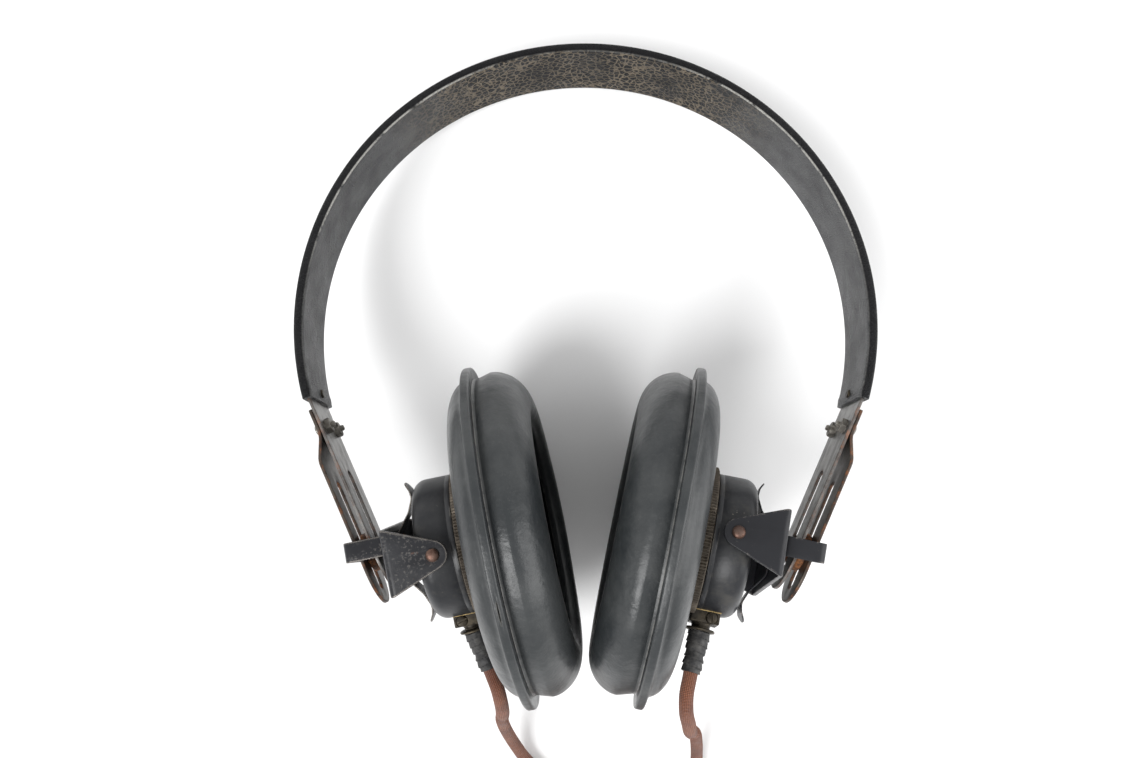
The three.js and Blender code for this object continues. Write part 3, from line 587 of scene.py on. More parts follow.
def paint_material(name, wear, speckle, rust_share):
    """Black enamel with bright worn edges, light specks and some rust."""
    s = Surface(name, (0.018, 0.018, 0.02), 0.36, specular=0.25)
    broken = s.step(s.noise(260, 5, 0.65), 0.62 - wear * 0.4, 0.8 - wear * 0.4)
    edge = s.maths("MULTIPLY", s.edges(0.0009), broken)
    speck = s.step(s.noise(1000, 4, 0.75), 0.66 - speckle * 0.12, 0.74 - speckle * 0.12)
    speck = s.maths("MULTIPLY", speck, s.step(s.noise(190, 4), 0.4, 0.6))
    rust = s.step(s.noise(150, 6, 0.7), 0.72 - rust_share * 0.3, 0.8 - rust_share * 0.3)
    colour = s.mix((0.010, 0.010, 0.012), (0.022, 0.023, 0.027), s.noise(80, 4))
    colour = s.mix(colour, (0.11, 0.105, 0.10), s.maths("MULTIPLY", speck, 0.8))
    colour = s.mix(colour, (0.15, 0.055, 0.022), s.maths("MULTIPLY", rust, 0.85))
    colour = s.mix(colour, (0.42, 0.38, 0.34), edge)
    s.set(base_color=colour, metallic=s.maths("MULTIPLY", edge, 0.9))
    s.set(roughness=s.step(s.maths("MAXIMUM", rust, speck), 0.0, 1.0, (0.34, 0.72)))
    s.bump((s.noise(500, 5, 0.7), 0.00006), (edge, -0.00005))
    return s.material


def can_material():
    s = Surface("satin_can_paint", (0.035, 0.037, 0.04), 0.42, specular=0.35)
    dust = s.step(s.noise(110, 6, 0.7), 0.5, 0.75)
    chips = s.step(s.noise(620, 4, 0.7), 0.69, 0.74)
    edge = s.maths("MULTIPLY", s.edges(0.0008), s.step(s.noise(200, 4), 0.4, 0.65))
    colour = s.mix((0.014, 0.015, 0.018), (0.032, 0.033, 0.035), s.step(s.noise(70, 5), 0.35, 0.7))
    colour = s.mix(colour, (0.085, 0.08, 0.07), s.maths("MULTIPLY", dust, 0.5))
    colour = s.mix(colour, (0.26, 0.24, 0.20), s.maths("MULTIPLY", s.maths("MAXIMUM", chips, edge), 0.7))
    s.set(base_color=colour, roughness=s.step(dust, 0, 1, (0.36, 0.6)))
    s.bump((s.noise(420, 5, 0.65), 0.00007))
    return s.material


def metal_material(name, dark, light, tarnish, roughness=0.42, metallic=0.85, scale=300):
    """Plain metal in two tones, with dull tarnish in patches and lighter edges."""
    s = Surface(name, dark, roughness, metallic)
    patches = s.step(s.noise(scale, 5, 0.65), 0.4, 0.65)
    colour = s.mix(dark, light, s.step(s.noise(scale * 2, 4), 0.35, 0.7))
    colour = s.mix(colour, tarnish, s.maths("MULTIPLY", patches, 0.75))
    colour = s.mix(colour, light, s.maths("MULTIPLY", s.edges(0.0004), 0.6))
    s.set(base_color=colour, metallic=s.step(patches, 0, 1, (metallic, metallic * 0.5)))
    s.set(roughness=s.step(patches, 0, 1, (roughness, min(0.9, roughness + 0.3))))
    s.bump((s.noise(scale * 3, 5, 0.7), 0.00004))
    return s.material


def rust_material():
    s = Surface("rusty_iron", (0.16, 0.07, 0.03), 0.8, 0.2)
    colour = s.mix((0.06, 0.028, 0.016), (0.36, 0.14, 0.045), s.step(s.noise(420, 6, 0.7), 0.35, 0.68))
    s.set(base_color=colour, roughness=s.step(s.noise(300, 3), 0.3, 0.7, (0.6, 0.9)))
    s.bump((s.noise(900, 6, 0.75), 0.00012))
    return s.material


def bakelite_material():
    s = Surface("pressed_bakelite", (0.018, 0.013, 0.011), 0.28)
    swirl = s.step(s.noise(160, 6, 0.7), 0.4, 0.7)
    colour = s.mix((0.012, 0.009, 0.008), (0.045, 0.024, 0.015), swirl)
    s.set(base_color=colour, roughness=s.step(s.noise(240, 5), 0.3, 0.75, (0.22, 0.45)))
    s.bump((s.noise(500, 4), 0.00003))
    return s.material


def tape_material():
    s = Surface("tarred_tape", (0.03, 0.028, 0.026), 0.62)
    weave = s.free_maths("MULTIPLY", s.noise(1800, 2), s.noise(400, 3))
    colour = s.mix((0.018, 0.018, 0.019), (0.075, 0.072, 0.068), s.step(s.noise(350, 6, 0.7), 0.4, 0.72))
    s.set(base_color=colour, roughness=s.step(s.noise(260, 4), 0.3, 0.7, (0.45, 0.75)))
    s.bump((weave, 0.00018))
    return s.material


def string_material():
    s = Surface("waxed_string", (0.42, 0.36, 0.24), 0.8)
    colour = s.mix((0.13, 0.10, 0.06), (0.36, 0.31, 0.21), s.noise(900, 4))
    s.set(base_color=colour)
    s.bump((s.noise(2500, 3), 0.0001))
    return s.material


def cord_material():
    """Cotton braid: two sets of fine strands that cross each other, with darker gaps between them."""
    s = Surface("braided_cotton", (0.22, 0.08, 0.045), 0.88, specular=0.25)
    parts = s.node("SeparateXYZ", {"Vector": s.node("UVMap", uv_map="braid").outputs["UV"]})
    across = s.free_maths("MULTIPLY", parts.outputs["X"], ROUND * BRAID_STRANDS)
    along = s.free_maths("MULTIPLY", parts.outputs["Y"], ROUND * BRAID_STRANDS / BRAID_PITCH)
    one = s.free_maths("SINE", s.free_maths("ADD", across, along))
    other = s.free_maths("SINE", s.free_maths("SUBTRACT", across, along))
    weave = s.step(s.free_maths("MULTIPLY", one, other), -0.7, 0.7)
    worn = s.step(s.noise(120, 5, 0.65), 0.35, 0.7)
    colour = s.mix((0.17, 0.056, 0.030), (0.31, 0.118, 0.062), worn)
    colour = s.mix(s.mix(colour, (0.05, 0.016, 0.009), 0.8), colour, weave)
    colour = s.mix(colour, (0.36, 0.18, 0.11), s.maths("MULTIPLY", s.step(s.noise(2200, 3), 0.52, 0.75), 0.3))
    s.shader.inputs["Sheen Weight"].default_value = 0.25
    s.set(base_color=colour)
    s.bump((weave, 0.0002), (s.noise(3500, 3), 0.00008))
    return s.material


# Round the leather's section: its whole length, and from the inner face's middle to that face's edge.
COVER_CORNER = 1.25
SECTION_LENGTH = 2 * (COVER_WIDTH + COVER_THICKNESS) - (8 - 2 * math.pi) * COVER_CORNER
INNER_HALF = COVER_WIDTH / 2 - 0.45
BRAID_STRANDS = 12
BRAID_PITCH = 9.0

MATERIAL = SimpleNamespace(
    rubber=rubber_material(),
    leather=leather_material(),
    strip=strip_material("strip_steel", (0.12, 0.115, 0.11), (0.24, 0.235, 0.225), 0.0),
    outer_strip=strip_material("browned_strip", (0.035, 0.027, 0.022), (0.10, 0.085, 0.072), 0.08),
    can=can_material(),
    rust=rust_material(),
    bakelite=bakelite_material(),
    tape=tape_material(),
    string=string_material(),
    cord=cord_material(),
    paint_left=paint_material("worn_enamel", 0.75, 1.0, 0.35),
    paint_right=paint_material("black_enamel", 0.35, 0.1, 0.1),
    screw=metal_material("browned_steel", (0.12, 0.11, 0.095), (0.40, 0.38, 0.34), (0.04, 0.034, 0.028)),
    rivet=metal_material("copper_rivet", (0.10, 0.055, 0.042), (0.22, 0.14, 0.11), (0.045, 0.030, 0.025)),
    ring=metal_material("knurled_metal", (0.055, 0.045, 0.036), (0.17, 0.145, 0.115), (0.032, 0.024, 0.018)),
    gland=metal_material("dark_brass", (0.030, 0.026, 0.021), (0.10, 0.082, 0.055), (0.016, 0.014, 0.013)),
    brass=metal_material("worn_brass", (0.50, 0.36, 0.15), (0.66, 0.50, 0.24), (0.20, 0.14, 0.07)),
    steel=metal_material("plain_steel", (0.36, 0.36, 0.36), (0.50, 0.50, 0.50), (0.20, 0.19, 0.18)),
    copper=metal_material("copper_wire", (0.42, 0.17, 0.08), (0.56, 0.26, 0.13), (0.22, 0.09, 0.045)),
)

# ---------------------------------------------------------------- cords

TAIL_ROUTES = {
    "left": [
        (-28.4, -90.0, 58.8), (-26.5, -94.9, 59.4), (-25.6, -99.6, 57.9), (-25.4, -104.0, 54.0),
        (-25.7, -107.7, 48.6), (-26.2, -111.2, 42.4), (-26.8, -114.7, 36.2), (-27.1, -118.5, 30.0),
        (-27.1, -122.7, 23.8), (-26.7, -127.3, 17.8), (-25.7, -132.4, 12.2), (-24.0, -137.9, 7.4),
        (-21.3, -143.6, 4.2), (-17.0, -148.8, 3.2), (-11.4, -152.4, 4.0), (-5.0, -153.9, 6.4),
        (0.4, -154.2, 9.0), (4.0, -154.0, 10.3),
    ],
    "right": [
        (30.1, -87.6, 68.3), (28.9, -92.5, 70.3), (29.0, -98.0, 69.8), (30.2, -103.2, 66.2),
        (31.2, -107.4, 61.0), (32.4, -110.8, 54.8), (33.6, -113.9, 48.2), (34.8, -117.1, 41.4),
        (36.0, -120.6, 34.6), (37.2, -124.6, 27.8), (38.3, -129.1, 21.2), (39.3, -134.0, 15.0),
        (40.1, -139.6, 9.6), (40.6, -145.6, 5.6), (40.9, -151.8, 3.8), (41.1, -158.0, 4.6),
        (41.2, -163.8, 7.4), (41.2, -169.3, 10.2),
    ],
}
COIL = SimpleNamespace(x=13.0, y=-186.0, radius=23.75, turns_across=3, turns_high=3)
COIL_CLEARANCE = 0.15
COIL_HALF = COIL.turns_across * CORD_DIAMETER / 2 + COIL_CLEARANCE
COIL_TOP = COIL.turns_high * CORD_DIAMETER + COIL_CLEARANCE
LEVELS = [CORD_DIAMETER * (i + 0.5) for i in range(COIL.turns_high)]
LANES = [COIL.radius + CORD_DIAMETER * (i - 1) for i in range(COIL.turns_across)]
SPLITTER = SimpleNamespace(angle=math.radians(147), out=25.9, length=20.0, radius=4.6)
PLUG = SimpleNamespace(angle=math.radians(-60), out=20.0, back=4.0, length=27.0, radius=9.0,
                       pin_length=14.0, pin_radius=2.0)
PIN_SPREAD = 5.0
TIE = SimpleNamespace(angle=math.radians(210), width=5.0, thickness=0.8, slack=0.7)
TURN_STEP = 10  # degrees between a turn's points
LANE_CHANGE = 50  # degrees that a turn takes to move to the next lane
TAIL_PARTS = (30.0, 42.0, 42.0)  # the lengths of a tail's first three stretches, near the tilt, the swivel and the slide
CORD_TUCK = 1.6  # how far a tail goes into its sleeve


def on_coil(angle, radius, height):
    """A point over the coil, at an angle in degrees."""
    a = math.radians(angle)
    return (COIL.x + radius * math.cos(a), COIL.y + radius * math.sin(a), height)


def eased(t):
    return t * t * (3 - 2 * t)


def winding(angle, degrees, radius, height, to_radius=None, to_height=None):
    """Points clockwise from an angle, moving evenly to another radius and height if they are given."""
    steps = max(1, round(degrees / TURN_STEP))
    points = []
    for i in range(1, steps + 1):
        t = eased(i / steps)
        r = radius + ((to_radius if to_radius is not None else radius) - radius) * t
        z = height + ((to_height if to_height is not None else height) - height) * t
        points.append(on_coil(angle - degrees * i / steps, r, z))
    return points


def smooth_line(points, spacing):
    """A uniform Catmull-Rom curve through the points, as a line of evenly spaced points."""
    p = [Vector(point) for point in points]
    p = [p[0] * 2 - p[1], *p, p[-1] * 2 - p[-2]]
    fine = []
    for a, b, c, d in zip(p, p[1:], p[2:], p[3:]):
        for i in range(12):
            t = i / 12
            fine.append(0.5 * (2 * b + (c - a) * t + (2 * a - 5 * b + 4 * c - d) * t * t
                               + (3 * b - a - 3 * c + d) * t ** 3))
    fine.append(p[-2])
    places = [0.0]
    for a, b in zip(fine, fine[1:]):
        places.append(places[-1] + (b - a).length)
    count = round(places[-1] / spacing)
    line, j = [], 0
    for i in range(count + 1):
        place = places[-1] * i / count
        while j < len(places) - 2 and places[j + 1] < place:
            j += 1
        t = (place - places[j]) / (places[j + 1] - places[j])
        line.append(fine[j].lerp(fine[j + 1], t))
    return line


def line_length(line):
    return sum((b - a).length for a, b in zip(line, line[1:]))


def tube(name, line, around, strand_height, start=0.0):
    """A braided tube round a line in millimetres, with how far round and along each point is as its UV."""
    count = len(line)
    tangents = [(line[min(i + 1, count - 1)] - line[max(i - 1, 0)]).normalized() for i in range(count)]
    side = tangents[0].orthogonal().normalized()
    vertices, places, travelled = [], [], start
    for i, (point, tangent) in enumerate(zip(line, tangents)):
        side = (side - tangent * side.dot(tangent)).normalized()
        other = tangent.cross(side)
        if i:
            travelled += (point - line[i - 1]).length
        places.append(travelled)
        for k in range(around):
            angle = ROUND * k / around
            phase = travelled * ROUND * BRAID_STRANDS / BRAID_PITCH
            weave = math.sin(BRAID_STRANDS * angle + phase) * math.sin(BRAID_STRANDS * angle - phase)
            radius = CORD_DIAMETER / 2 - 0.06 + strand_height * weave
            vertices.append((point + (side * math.cos(angle) + other * math.sin(angle)) * radius) * MM)
    faces = []
    for i in range(count - 1):
        for k in range(around):
            a, b = i * around + k, i * around + (k + 1) % around
            faces.append((a, b, b + around, a + around))
    faces.append(tuple(range(around - 1, -1, -1)))
    faces.append(tuple(range((count - 1) * around, count * around)))
    mesh = bpy.data.meshes.new(name)
    mesh.from_pydata(vertices, [], faces)
    uv = mesh.uv_layers.new(name="braid")
    for polygon in mesh.polygons:
        for loop in polygon.loop_indices:
            i, k = divmod(mesh.loops[loop].vertex_index, around)
            round_trip = k == 0 and any(
                mesh.loops[other].vertex_index % around == around - 1 for other in polygon.loop_indices)
            uv.data[loop].uv = ((1.0 if round_trip else k / around), places[i])
    return add_object(name, mesh, MATERIAL.cord, 80)


SPLITTER_PLACE = Vector((COIL.x + SPLITTER.out * math.cos(SPLITTER.angle),
                         COIL.y + SPLITTER.out * math.sin(SPLITTER.angle), COIL_TOP + GAP + SPLITTER.radius))
SPLITTER_HEADING = Vector((math.sin(SPLITTER.angle), -math.cos(SPLITTER.angle), 0))
SPLITTER_INWARD = Vector((-math.cos(SPLITTER.angle), -math.sin(SPLITTER.angle), 0))
PLUG_PLACE = Vector((COIL.x + PLUG.out * math.cos(PLUG.angle), COIL.y + PLUG.out * math.sin(PLUG.angle),
                     COIL_TOP + GAP + PLUG.radius))
PLUG_HEADING = Vector((math.sin(PLUG.angle), -math.cos(PLUG.angle), 0))


def tail_route(side):
    """Down to the table, up the side of the coil, clockwise round its top level and into the splitter."""
    if side.name == "left":
        lane, inward, joins, bend = LANES[1], 1.9, 58, [(95, 30.7), (83, 27.6), (70, 24.7)]
    else:
        lane, inward, joins, bend = LANES[2], -1.9, -4, [(20, 30.9), (8, 28.7)]
    top = LEVELS[2]
    end = SPLITTER_PLACE - SPLITTER_HEADING * (SPLITTER.length / 2 - 3) + SPLITTER_INWARD * inward
    before = end - SPLITTER_HEADING * 5
    rise_from = 208 - 360
    turned = joins - rise_from
    points = [*TAIL_ROUTES[side.name], *[on_coil(a, r, top) for a, r in bend], on_coil(joins, lane, top)]
    points += winding(joins, turned, lane, top)
    points.append(on_coil(198, lane + 0.1, top + 1.2))
    points.append(on_coil(188, lane + 0.3, top + 3.6))
    return [*points, tuple(before), tuple(end)]


def add_tail(side):
    """The tail in four stretches: three of the lengths in TAIL_PARTS, left unparented, and the rest, which lies
    still on the headband.
    """
    name = f"{side.name}_cord_tail"
    line = smooth_line(tail_route(side), 0.25)
    inwards = (line[0] - line[1]).normalized()
    line = [line[0] + inwards * CORD_TUCK * i for i in (1.0, 0.75, 0.5, 0.25)] + line
    chain = [f"{side.name}_cup", f"{side.name}_yoke_body", f"{side.name}_slider", "headband"]
    joints = list(zip(chain, chain[1:]))
    ends, travelled = [0], 0.0
    for length in TAIL_PARTS:
        i = ends[-1]
        reach = 0.0
        while reach < length:
            reach += (line[i + 1] - line[i]).length
            i += 1
        ends.append(i)
    ends.append(len(line) - 1)
    for part, (first, last) in enumerate(zip(ends, ends[1:])):
        stretch = line[first:last + 1]
        piece = tube(f"{name}_{part + 1}", stretch, 48, 0.07, travelled)
        travelled += line_length(stretch)
        if part < len(joints):
            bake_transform(piece)
        else:
            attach(piece, "headband")
        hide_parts(name)


def main_route():
    """Out of the splitter, down inside the coil, three levels of turns, and up to the plug."""
    start = SPLITTER_PLACE + SPLITTER_HEADING * (SPLITTER.length / 2 - 3)
    points = [tuple(start), tuple(start + SPLITTER_HEADING * 4.5)]
    points += [on_coil(104, 27.2, 18.0), on_coil(88, 24.6, 17.6), on_coil(72, 21.4, 16.8),
               on_coil(56, 18.0, 15.8), on_coil(40, 15.6, 14.8)]
    hole = LANES[0] - CORD_DIAMETER - 0.15
    points += winding(40, 290, 15.6, 14.8, hole, LEVELS[0])
    angle = 40 - 290
    points += winding(angle, LANE_CHANGE, hole, LEVELS[0], LANES[0])
    angle -= LANE_CHANGE
    inner_turn = 360 - LANE_CHANGE
    for level in (0, 1):
        lanes = LANES if level == 0 else LANES[::-1]
        for i, radius in enumerate(lanes):
            points += winding(angle, inner_turn, radius, LEVELS[level])
            angle -= inner_turn
            if i < len(lanes) - 1:
                points += winding(angle, LANE_CHANGE, radius, LEVELS[level], lanes[i + 1])
            else:
                points += winding(angle, LANE_CHANGE, radius, LEVELS[level], None, LEVELS[level + 1])
            angle -= LANE_CHANGE
    turned = angle % 360
    top_turn = (turned - 66) % 360
    points += winding(turned, top_turn, LANES[0], LEVELS[2])
    # It rises over the other turns to the plug, which lies on the coil.
    rise = ((54, 19.7, 11.4), (42, 20.9, 13.6), (30, 23.1, 16.6), (18, 26.2, 19.6), (6, 29.4, 21.6))
    points += [on_coil(*place) for place in rise]
    back = PLUG_PLACE - PLUG_HEADING * (PLUG.back + PLUG.length / 2 - 3)
    points += [tuple(back - PLUG_HEADING * 6.5 + Vector((0.4, -0.4, 0))), tuple(back)]
    return points


def add_main_cord(with_pieces):
    line = smooth_line(main_route(), 0.8)
    piece = tube("main_cord", line, 24, 0.0)
    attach(piece, "headband")
    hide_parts("main_cord_coil")


def coil_frame(angle, out, height):
    """On the coil, x clockwise along its turns."""
    place = shift(COIL.x + out * math.cos(angle), COIL.y + out * math.sin(angle), height)
    return TABLE @ place @ turn(angle - math.pi / 2, "Z")


def wrapped(radius_at, start, end, pitch, step, steps=48, rings=60):
    """Tape wound round the x axis: each turn laps over the last one by a small step."""
    profile = [(0, start), *[(1, start + (end - start) * i / rings) for i in range(rings + 1)], (0, end)]

    def warp(_, place, angle):
        lap = ((place - start) / pitch + angle / ROUND) % 1
        ragged = 0.12 * noise.noise(Vector((place * 0.8, math.cos(angle) * 2, math.sin(angle) * 2)))
        return radius_at(place) + step * (lap - 0.5) + ragged, place

    return lathe(profile, steps, warp=warp)


def add_splitter():
    half = SPLITTER.length / 2

    widest = SPLITTER.radius - 0.35

    def radius_at(place):
        t = (place + half) / SPLITTER.length
        return widest * (1 - t) ** 0.5 * 0.35 + widest * 0.65 * (1 - 0.25 * t)

    bm = wrapped(radius_at, -half, half, 3.2, 0.3)
    for vertex in bm.verts:
        share = 1 - (vertex.co.x + half) / SPLITTER.length
        vertex.co.y *= 1 + 0.10 * share
        vertex.co.z *= 1 - 0.22 * share
        vertex.co.z -= 0.6 * share
    frame_here = coil_frame(SPLITTER.angle, SPLITTER.out, SPLITTER_PLACE.z)
    return stand_for("cord_splitter", bm, frame_here, MATERIAL.tape)


def add_plug():
    length, radius = PLUG.length, PLUG.radius
    profile = [(0, -length / 2), (3.0, -length / 2), *arc((3.0, -length / 2 + 0.8), 0.8, -90, 0, 4),
               (4.1, -length / 2 + 4), (5.0, -length / 2 + 6.2), (6.6, -length / 2 + 8),
               (radius - 0.8, -length / 2 + 10), (radius, -length / 2 + 12.4), (radius, -length / 2 + 13.4),
               (radius - 0.5, -length / 2 + 13.8), (radius - 0.5, -length / 2 + 14.6),
               (radius, -length / 2 + 15), *arc((radius - 1, length / 2 - 1), 1, 0, 90, 5), (0, length / 2)]

    def grip(r, place, angle):
        ribbed = r == radius and place > -length / 2 + 14
        return r - (0.22 * (1 + math.cos(24 * angle)) / 2 if ribbed else 0), place

    place = coil_frame(PLUG.angle, PLUG.out, PLUG_PLACE.z) @ shift(-PLUG.back, 0, 0)
    body = stand_for("plug_body", lathe(profile, 144, warp=grip), place, MATERIAL.bakelite)
    pieces = [body]
    start = length / 2 + GAP
    for name, offset in (("inner", -PIN_SPREAD), ("outer", PIN_SPREAD)):
        r, reach = PLUG.pin_radius, PLUG.pin_length
        pin = [(0, start), (r + 0.8, start), *arc((r + 0.5, start + 0.7), 0.3, 0, 90, 4), (r, start + 1.1),
               *arc((r - 0.8, start + reach - 0.8), 0.8, 0, 90, 6), (0, start + reach)]
        pin_piece = lathe(pin, 40)
        slit = block((start + 4, -0.25, -5), (start + reach + 1, 0.25, 5))
        pieces.append(stand_for(f"plug_pin_{name}", carved(pin_piece, slit), place @ shift(0, offset, 0),
                                MATERIAL.brass))
    return pieces


def add_tie():
    """A strip of tape over the coil and down both its sides."""
    half, top = COIL_HALF + TIE.slack + TIE.thickness / 2, COIL_TOP + GAP + TIE.thickness / 2
    fold = Fold([(0.1, -half), (top, -half), (top, half), (0.1, half)], 2.4)
    edge = TIE.width / 2
    outline = [(0, -edge), (fold.length, -edge), (fold.length, edge), (0, edge)]
    bm = bent_sheet(outline, [], TIE.thickness * 0.8, 0.15, fold.cuts(), fold)
    # The fold is made in z and y, with the tape's width along x.
    along = Matrix(((0, 1, 0, 0), (0, 0, 1, 0), (1, 0, 0, 0), (0, 0, 0, 1)))
    return stand_for("cord_tie", bm, coil_frame(TIE.angle, COIL.radius, 0) @ along, MATERIAL.tape)


for each_side in SIDES:
    add_tail(each_side)
add_main_cord([add_splitter(), *add_plug(), add_tie()])

# ---------------------------------------------------------------- headband


def leather_section():
    """Half of the padded section's outline, as (outwards, across), from the outer face's middle."""
    half_width, half_depth, corner = COVER_WIDTH / 2, COVER_THICKNESS / 2, COVER_CORNER
    points = [(half_depth, half_width * t) for t in (0.0, 0.2, 0.4, 0.6, 0.75)]
    points += [(half_depth - corner + x, half_width - corner + y) for x, y in arc((0, 0), corner, 0, 90, 6)]
    points += [(corner - half_depth - x, half_width - corner + y)
               for x, y in arc((0, 0), corner, 90, 0, 6)]
    points += [(-half_depth, half_width * t) for t in (0.75, 0.6, 0.4, 0.2, 0.0)]
    return points


def add_leather():
    half = leather_section()
    section = half + [(x, -y) for x, y in half[-2:0:-1]]
    distances = [0.0]
    for a, b in zip(section, section[1:]):
        distances.append(distances[-1] + math.dist(a, b))
    steps, count = 420, len(section)
    sweep = math.pi - 2 * BAND_END
    vertices, uvs = [], []
    for i in range(steps + 1):
        angle = BAND_END + sweep * i / steps
        from_end = min(i, steps - i) / steps * sweep * BAND_RADIUS
        crown = max(0.0, math.sin(angle)) ** 2
        for (out, across), distance in zip(section, distances):
            inside = out < 0
            middle = 1 - (across / (COVER_WIDTH / 2)) ** 2
            spot = Vector((BAND_RADIUS * math.cos(angle), BAND_RADIUS * math.sin(angle), across))
            swell = 0.30 * noise.noise(spot * 0.055) + 0.10 * noise.noise(spot * 0.25)
            creases = 0.16 * crown * noise.noise(Vector((angle * 60, across * 0.12, 3))) * middle
            folded = 0.35 * math.exp(-((from_end - 2.2) / 1.1) ** 2)
            thicker = (swell * middle + creases + folded * 0.6) if inside else 0.5 * swell * middle
            # The skin stays outside the spring strip and inside the solid's own thickness and a little more.
            radial = out + (-1 if inside else 1) * max(-0.35, min(0.55, thicker))
            narrow = 1 - 0.012 * (1 + noise.noise(spot * 0.03))
            radius = BAND_RADIUS + radial
            skin = Vector((radius * math.cos(angle), radius * math.sin(angle), across * narrow))
            vertices.append(RING @ skin)
            uvs.append((angle * BAND_RADIUS, distance))
    faces = []
    for i in range(steps):
        for k in range(count):
            a, b = i * count + k, i * count + (k + 1) % count
            faces.append((a, a + count, b + count, b))
    faces.append(tuple(range(count)))
    faces.append(tuple(range((steps + 1) * count - 1, steps * count - 1, -1)))
    mesh = bpy.data.meshes.new("leather_cover_detail")
    mesh.from_pydata(vertices, [], faces)
    uv = mesh.uv_layers.new(name="cover")
    whole = distances[-1] + math.dist(section[-1], section[0])
    for face in mesh.polygons:
        closing = face.index % count == count - 1
        for loop in face.loop_indices:
            along, distance = uvs[mesh.loops[loop].vertex_index]
            uv.data[loop].uv = (along, whole if closing and distance == 0 else distance)
    piece = add_object("leather_cover_detail", mesh, MATERIAL.leather, 60)
    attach(piece, BODY_OF["leather_cover"])
    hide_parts("leather_cover")


def screw_holes(place):
    """The two holes for the strip screws, at one distance along a strip."""
    return [circle(place, y, SCREW_RADIUS + GAP) for y in (-SCREW_SPREAD, SCREW_SPREAD)]


def slot_outline(start, end, width):
    """A slot with round ends along x."""
    r = width / 2
    return [*arc((start + r, 0), r, 90, 270, 16), *arc((end - r, 0), r, -90, 90, 16)]


def add_spring_band():
    """One strip of steel from tip to tip: two slotted arms and the arc inside the leather."""
    corners = [(ARM_START[0] - ARM_LENGTH * math.sin(ARM_LEAN), ARM_START[1] - ARM_LENGTH * math.cos(ARM_LEAN))]
    steps = 72
    for i in range(steps + 1):
        angle = BAND_END + (math.pi - 2 * BAND_END) * i / steps
        corners.append((BAND_RADIUS * math.cos(angle), BAND_RADIUS * math.sin(angle)))
    corners.append((-corners[0][0], corners[0][1]))
    fold = Fold(corners, 4, 2)
    total, radius = fold.length, STRIP_WIDTH / 2
    outline = [*arc((radius, 0), radius, 90, 270, 32), *arc((total - radius, 0), radius, -90, 90, 32)]
    holes = []
    for flip in (False, True):
        slot = slot_outline(ARM_LENGTH - INNER_SLOT[1], ARM_LENGTH - INNER_SLOT[0], SLOT_WIDTH)
        for hole in [slot, *screw_holes(ARM_LENGTH - SCREW_PLACE)]:
            holes.append([(total - x, y) for x, y in hole] if flip else hole)
    bm = bent_sheet(outline, holes, STRIP_THICKNESS, 0.12, fold.cuts(), fold)
    stand_for("spring_band", bm, RING @ UPRIGHT, MATERIAL.strip)


def add_outer_strip(side):
    corners = [(STRIP_NEAR, -OUTER_START), (STRIP_NEAR, -OUTER_BEND[0]), (STRIP_SPACING, -OUTER_BEND[1]),
               (STRIP_SPACING, -OUTER_LENGTH)]
    fold = Fold(corners, 7, 8)
    total, radius = fold.length, (STRIP_WIDTH - 1) / 2
    outline = [(0.8, -radius), *arc((total - radius, 0), radius, -90, 90, 40), (0.8, radius),
               *arc((0.8, radius - 0.8), 0.8, 90, 180, 4), *arc((0.8, 0.8 - radius), 0.8, 180, 270, 4)]
    extra = total - (OUTER_LENGTH - OUTER_START)
    near, far = (place - OUTER_START + extra for place in OUTER_SLOT)
    holes = [slot_outline(near, far, SLOT_WIDTH), *screw_holes(SCREW_PLACE - OUTER_START)]
    bm = bent_sheet(outline, holes, STRIP_THICKNESS, 0.12, fold.cuts(), fold)
    stand_for(f"{side.name}_outer_strip", bm, arm_frame(side) @ UPRIGHT, MATERIAL.outer_strip)


def slotted(bm, face, depth, half_width, reach):
    """bm with a screwdriver slot across a head whose top is at x = face."""
    return carved(bm, block((face - depth, -reach, -half_width), (face + 2, reach, half_width)))


def add_screws(side):
    face = STRIP_NEAR + STRIP_THICKNESS / 2 + 0.05
    end = -STRIP_THICKNESS / 2 - GAP - NUT_THICKNESS - 0.9
    head = SCREW_HEAD_RADIUS
    dome = arc((0, face + 0.35), (head, 0.85), 0, 84, 7)
    threads = []
    place = end + 0.3
    while place < -STRIP_THICKNESS / 2 - GAP:
        threads += [(SCREW_RADIUS - 0.14, place), (SCREW_RADIUS, place + 0.12)]
        place += 0.25
    profile = [(0, end), (SCREW_RADIUS - 0.25, end), *threads, (SCREW_RADIUS, face - 0.1), (head - 0.1, face),
               *dome, (0, face + 1.2)]
    for name, offset in (("near", SCREW_SPREAD), ("far", -SCREW_SPREAD)):
        place_here = arm_frame(side) @ shift(0, -SCREW_PLACE, offset) @ turn(0.9 * side.mirror + offset, "X")
        screw = slotted(lathe(profile, 36), face + 1.2, 0.55, 0.25, 4)
        stand_for(f"{side.name}_strip_screw_{name}", screw, place_here, MATERIAL.screw)
        stand_for(f"{side.name}_strip_nut_{name}", hex_nut(), place_here, MATERIAL.screw)


def hex_nut():
    """A six-sided nut with its corners chamfered, and a bore."""
    face = -STRIP_THICKNESS / 2 - 0.05
    steps = 48
    bm = bmesh.new()
    rings = []
    back, bore, unlimited = face - NUT_THICKNESS, SCREW_RADIUS + 0.08, 9
    profile = [(face, 2.2), (face - 0.3, unlimited), (back + 0.3, unlimited), (back, 2.2),
               (back, bore), (face, bore)]
    for place, most in profile:
        ring = []
        for i in range(steps):
            angle = ROUND * i / steps
            flat = NUT_RADIUS * math.cos(math.pi / 6) / math.cos((angle % (math.pi / 3)) - math.pi / 6)
            r = min(flat, most)
            ring.append(bm.verts.new((place, r * math.cos(angle), r * math.sin(angle))))
        rings.append(ring)
    bridge(bm, rings, True)
    return bm


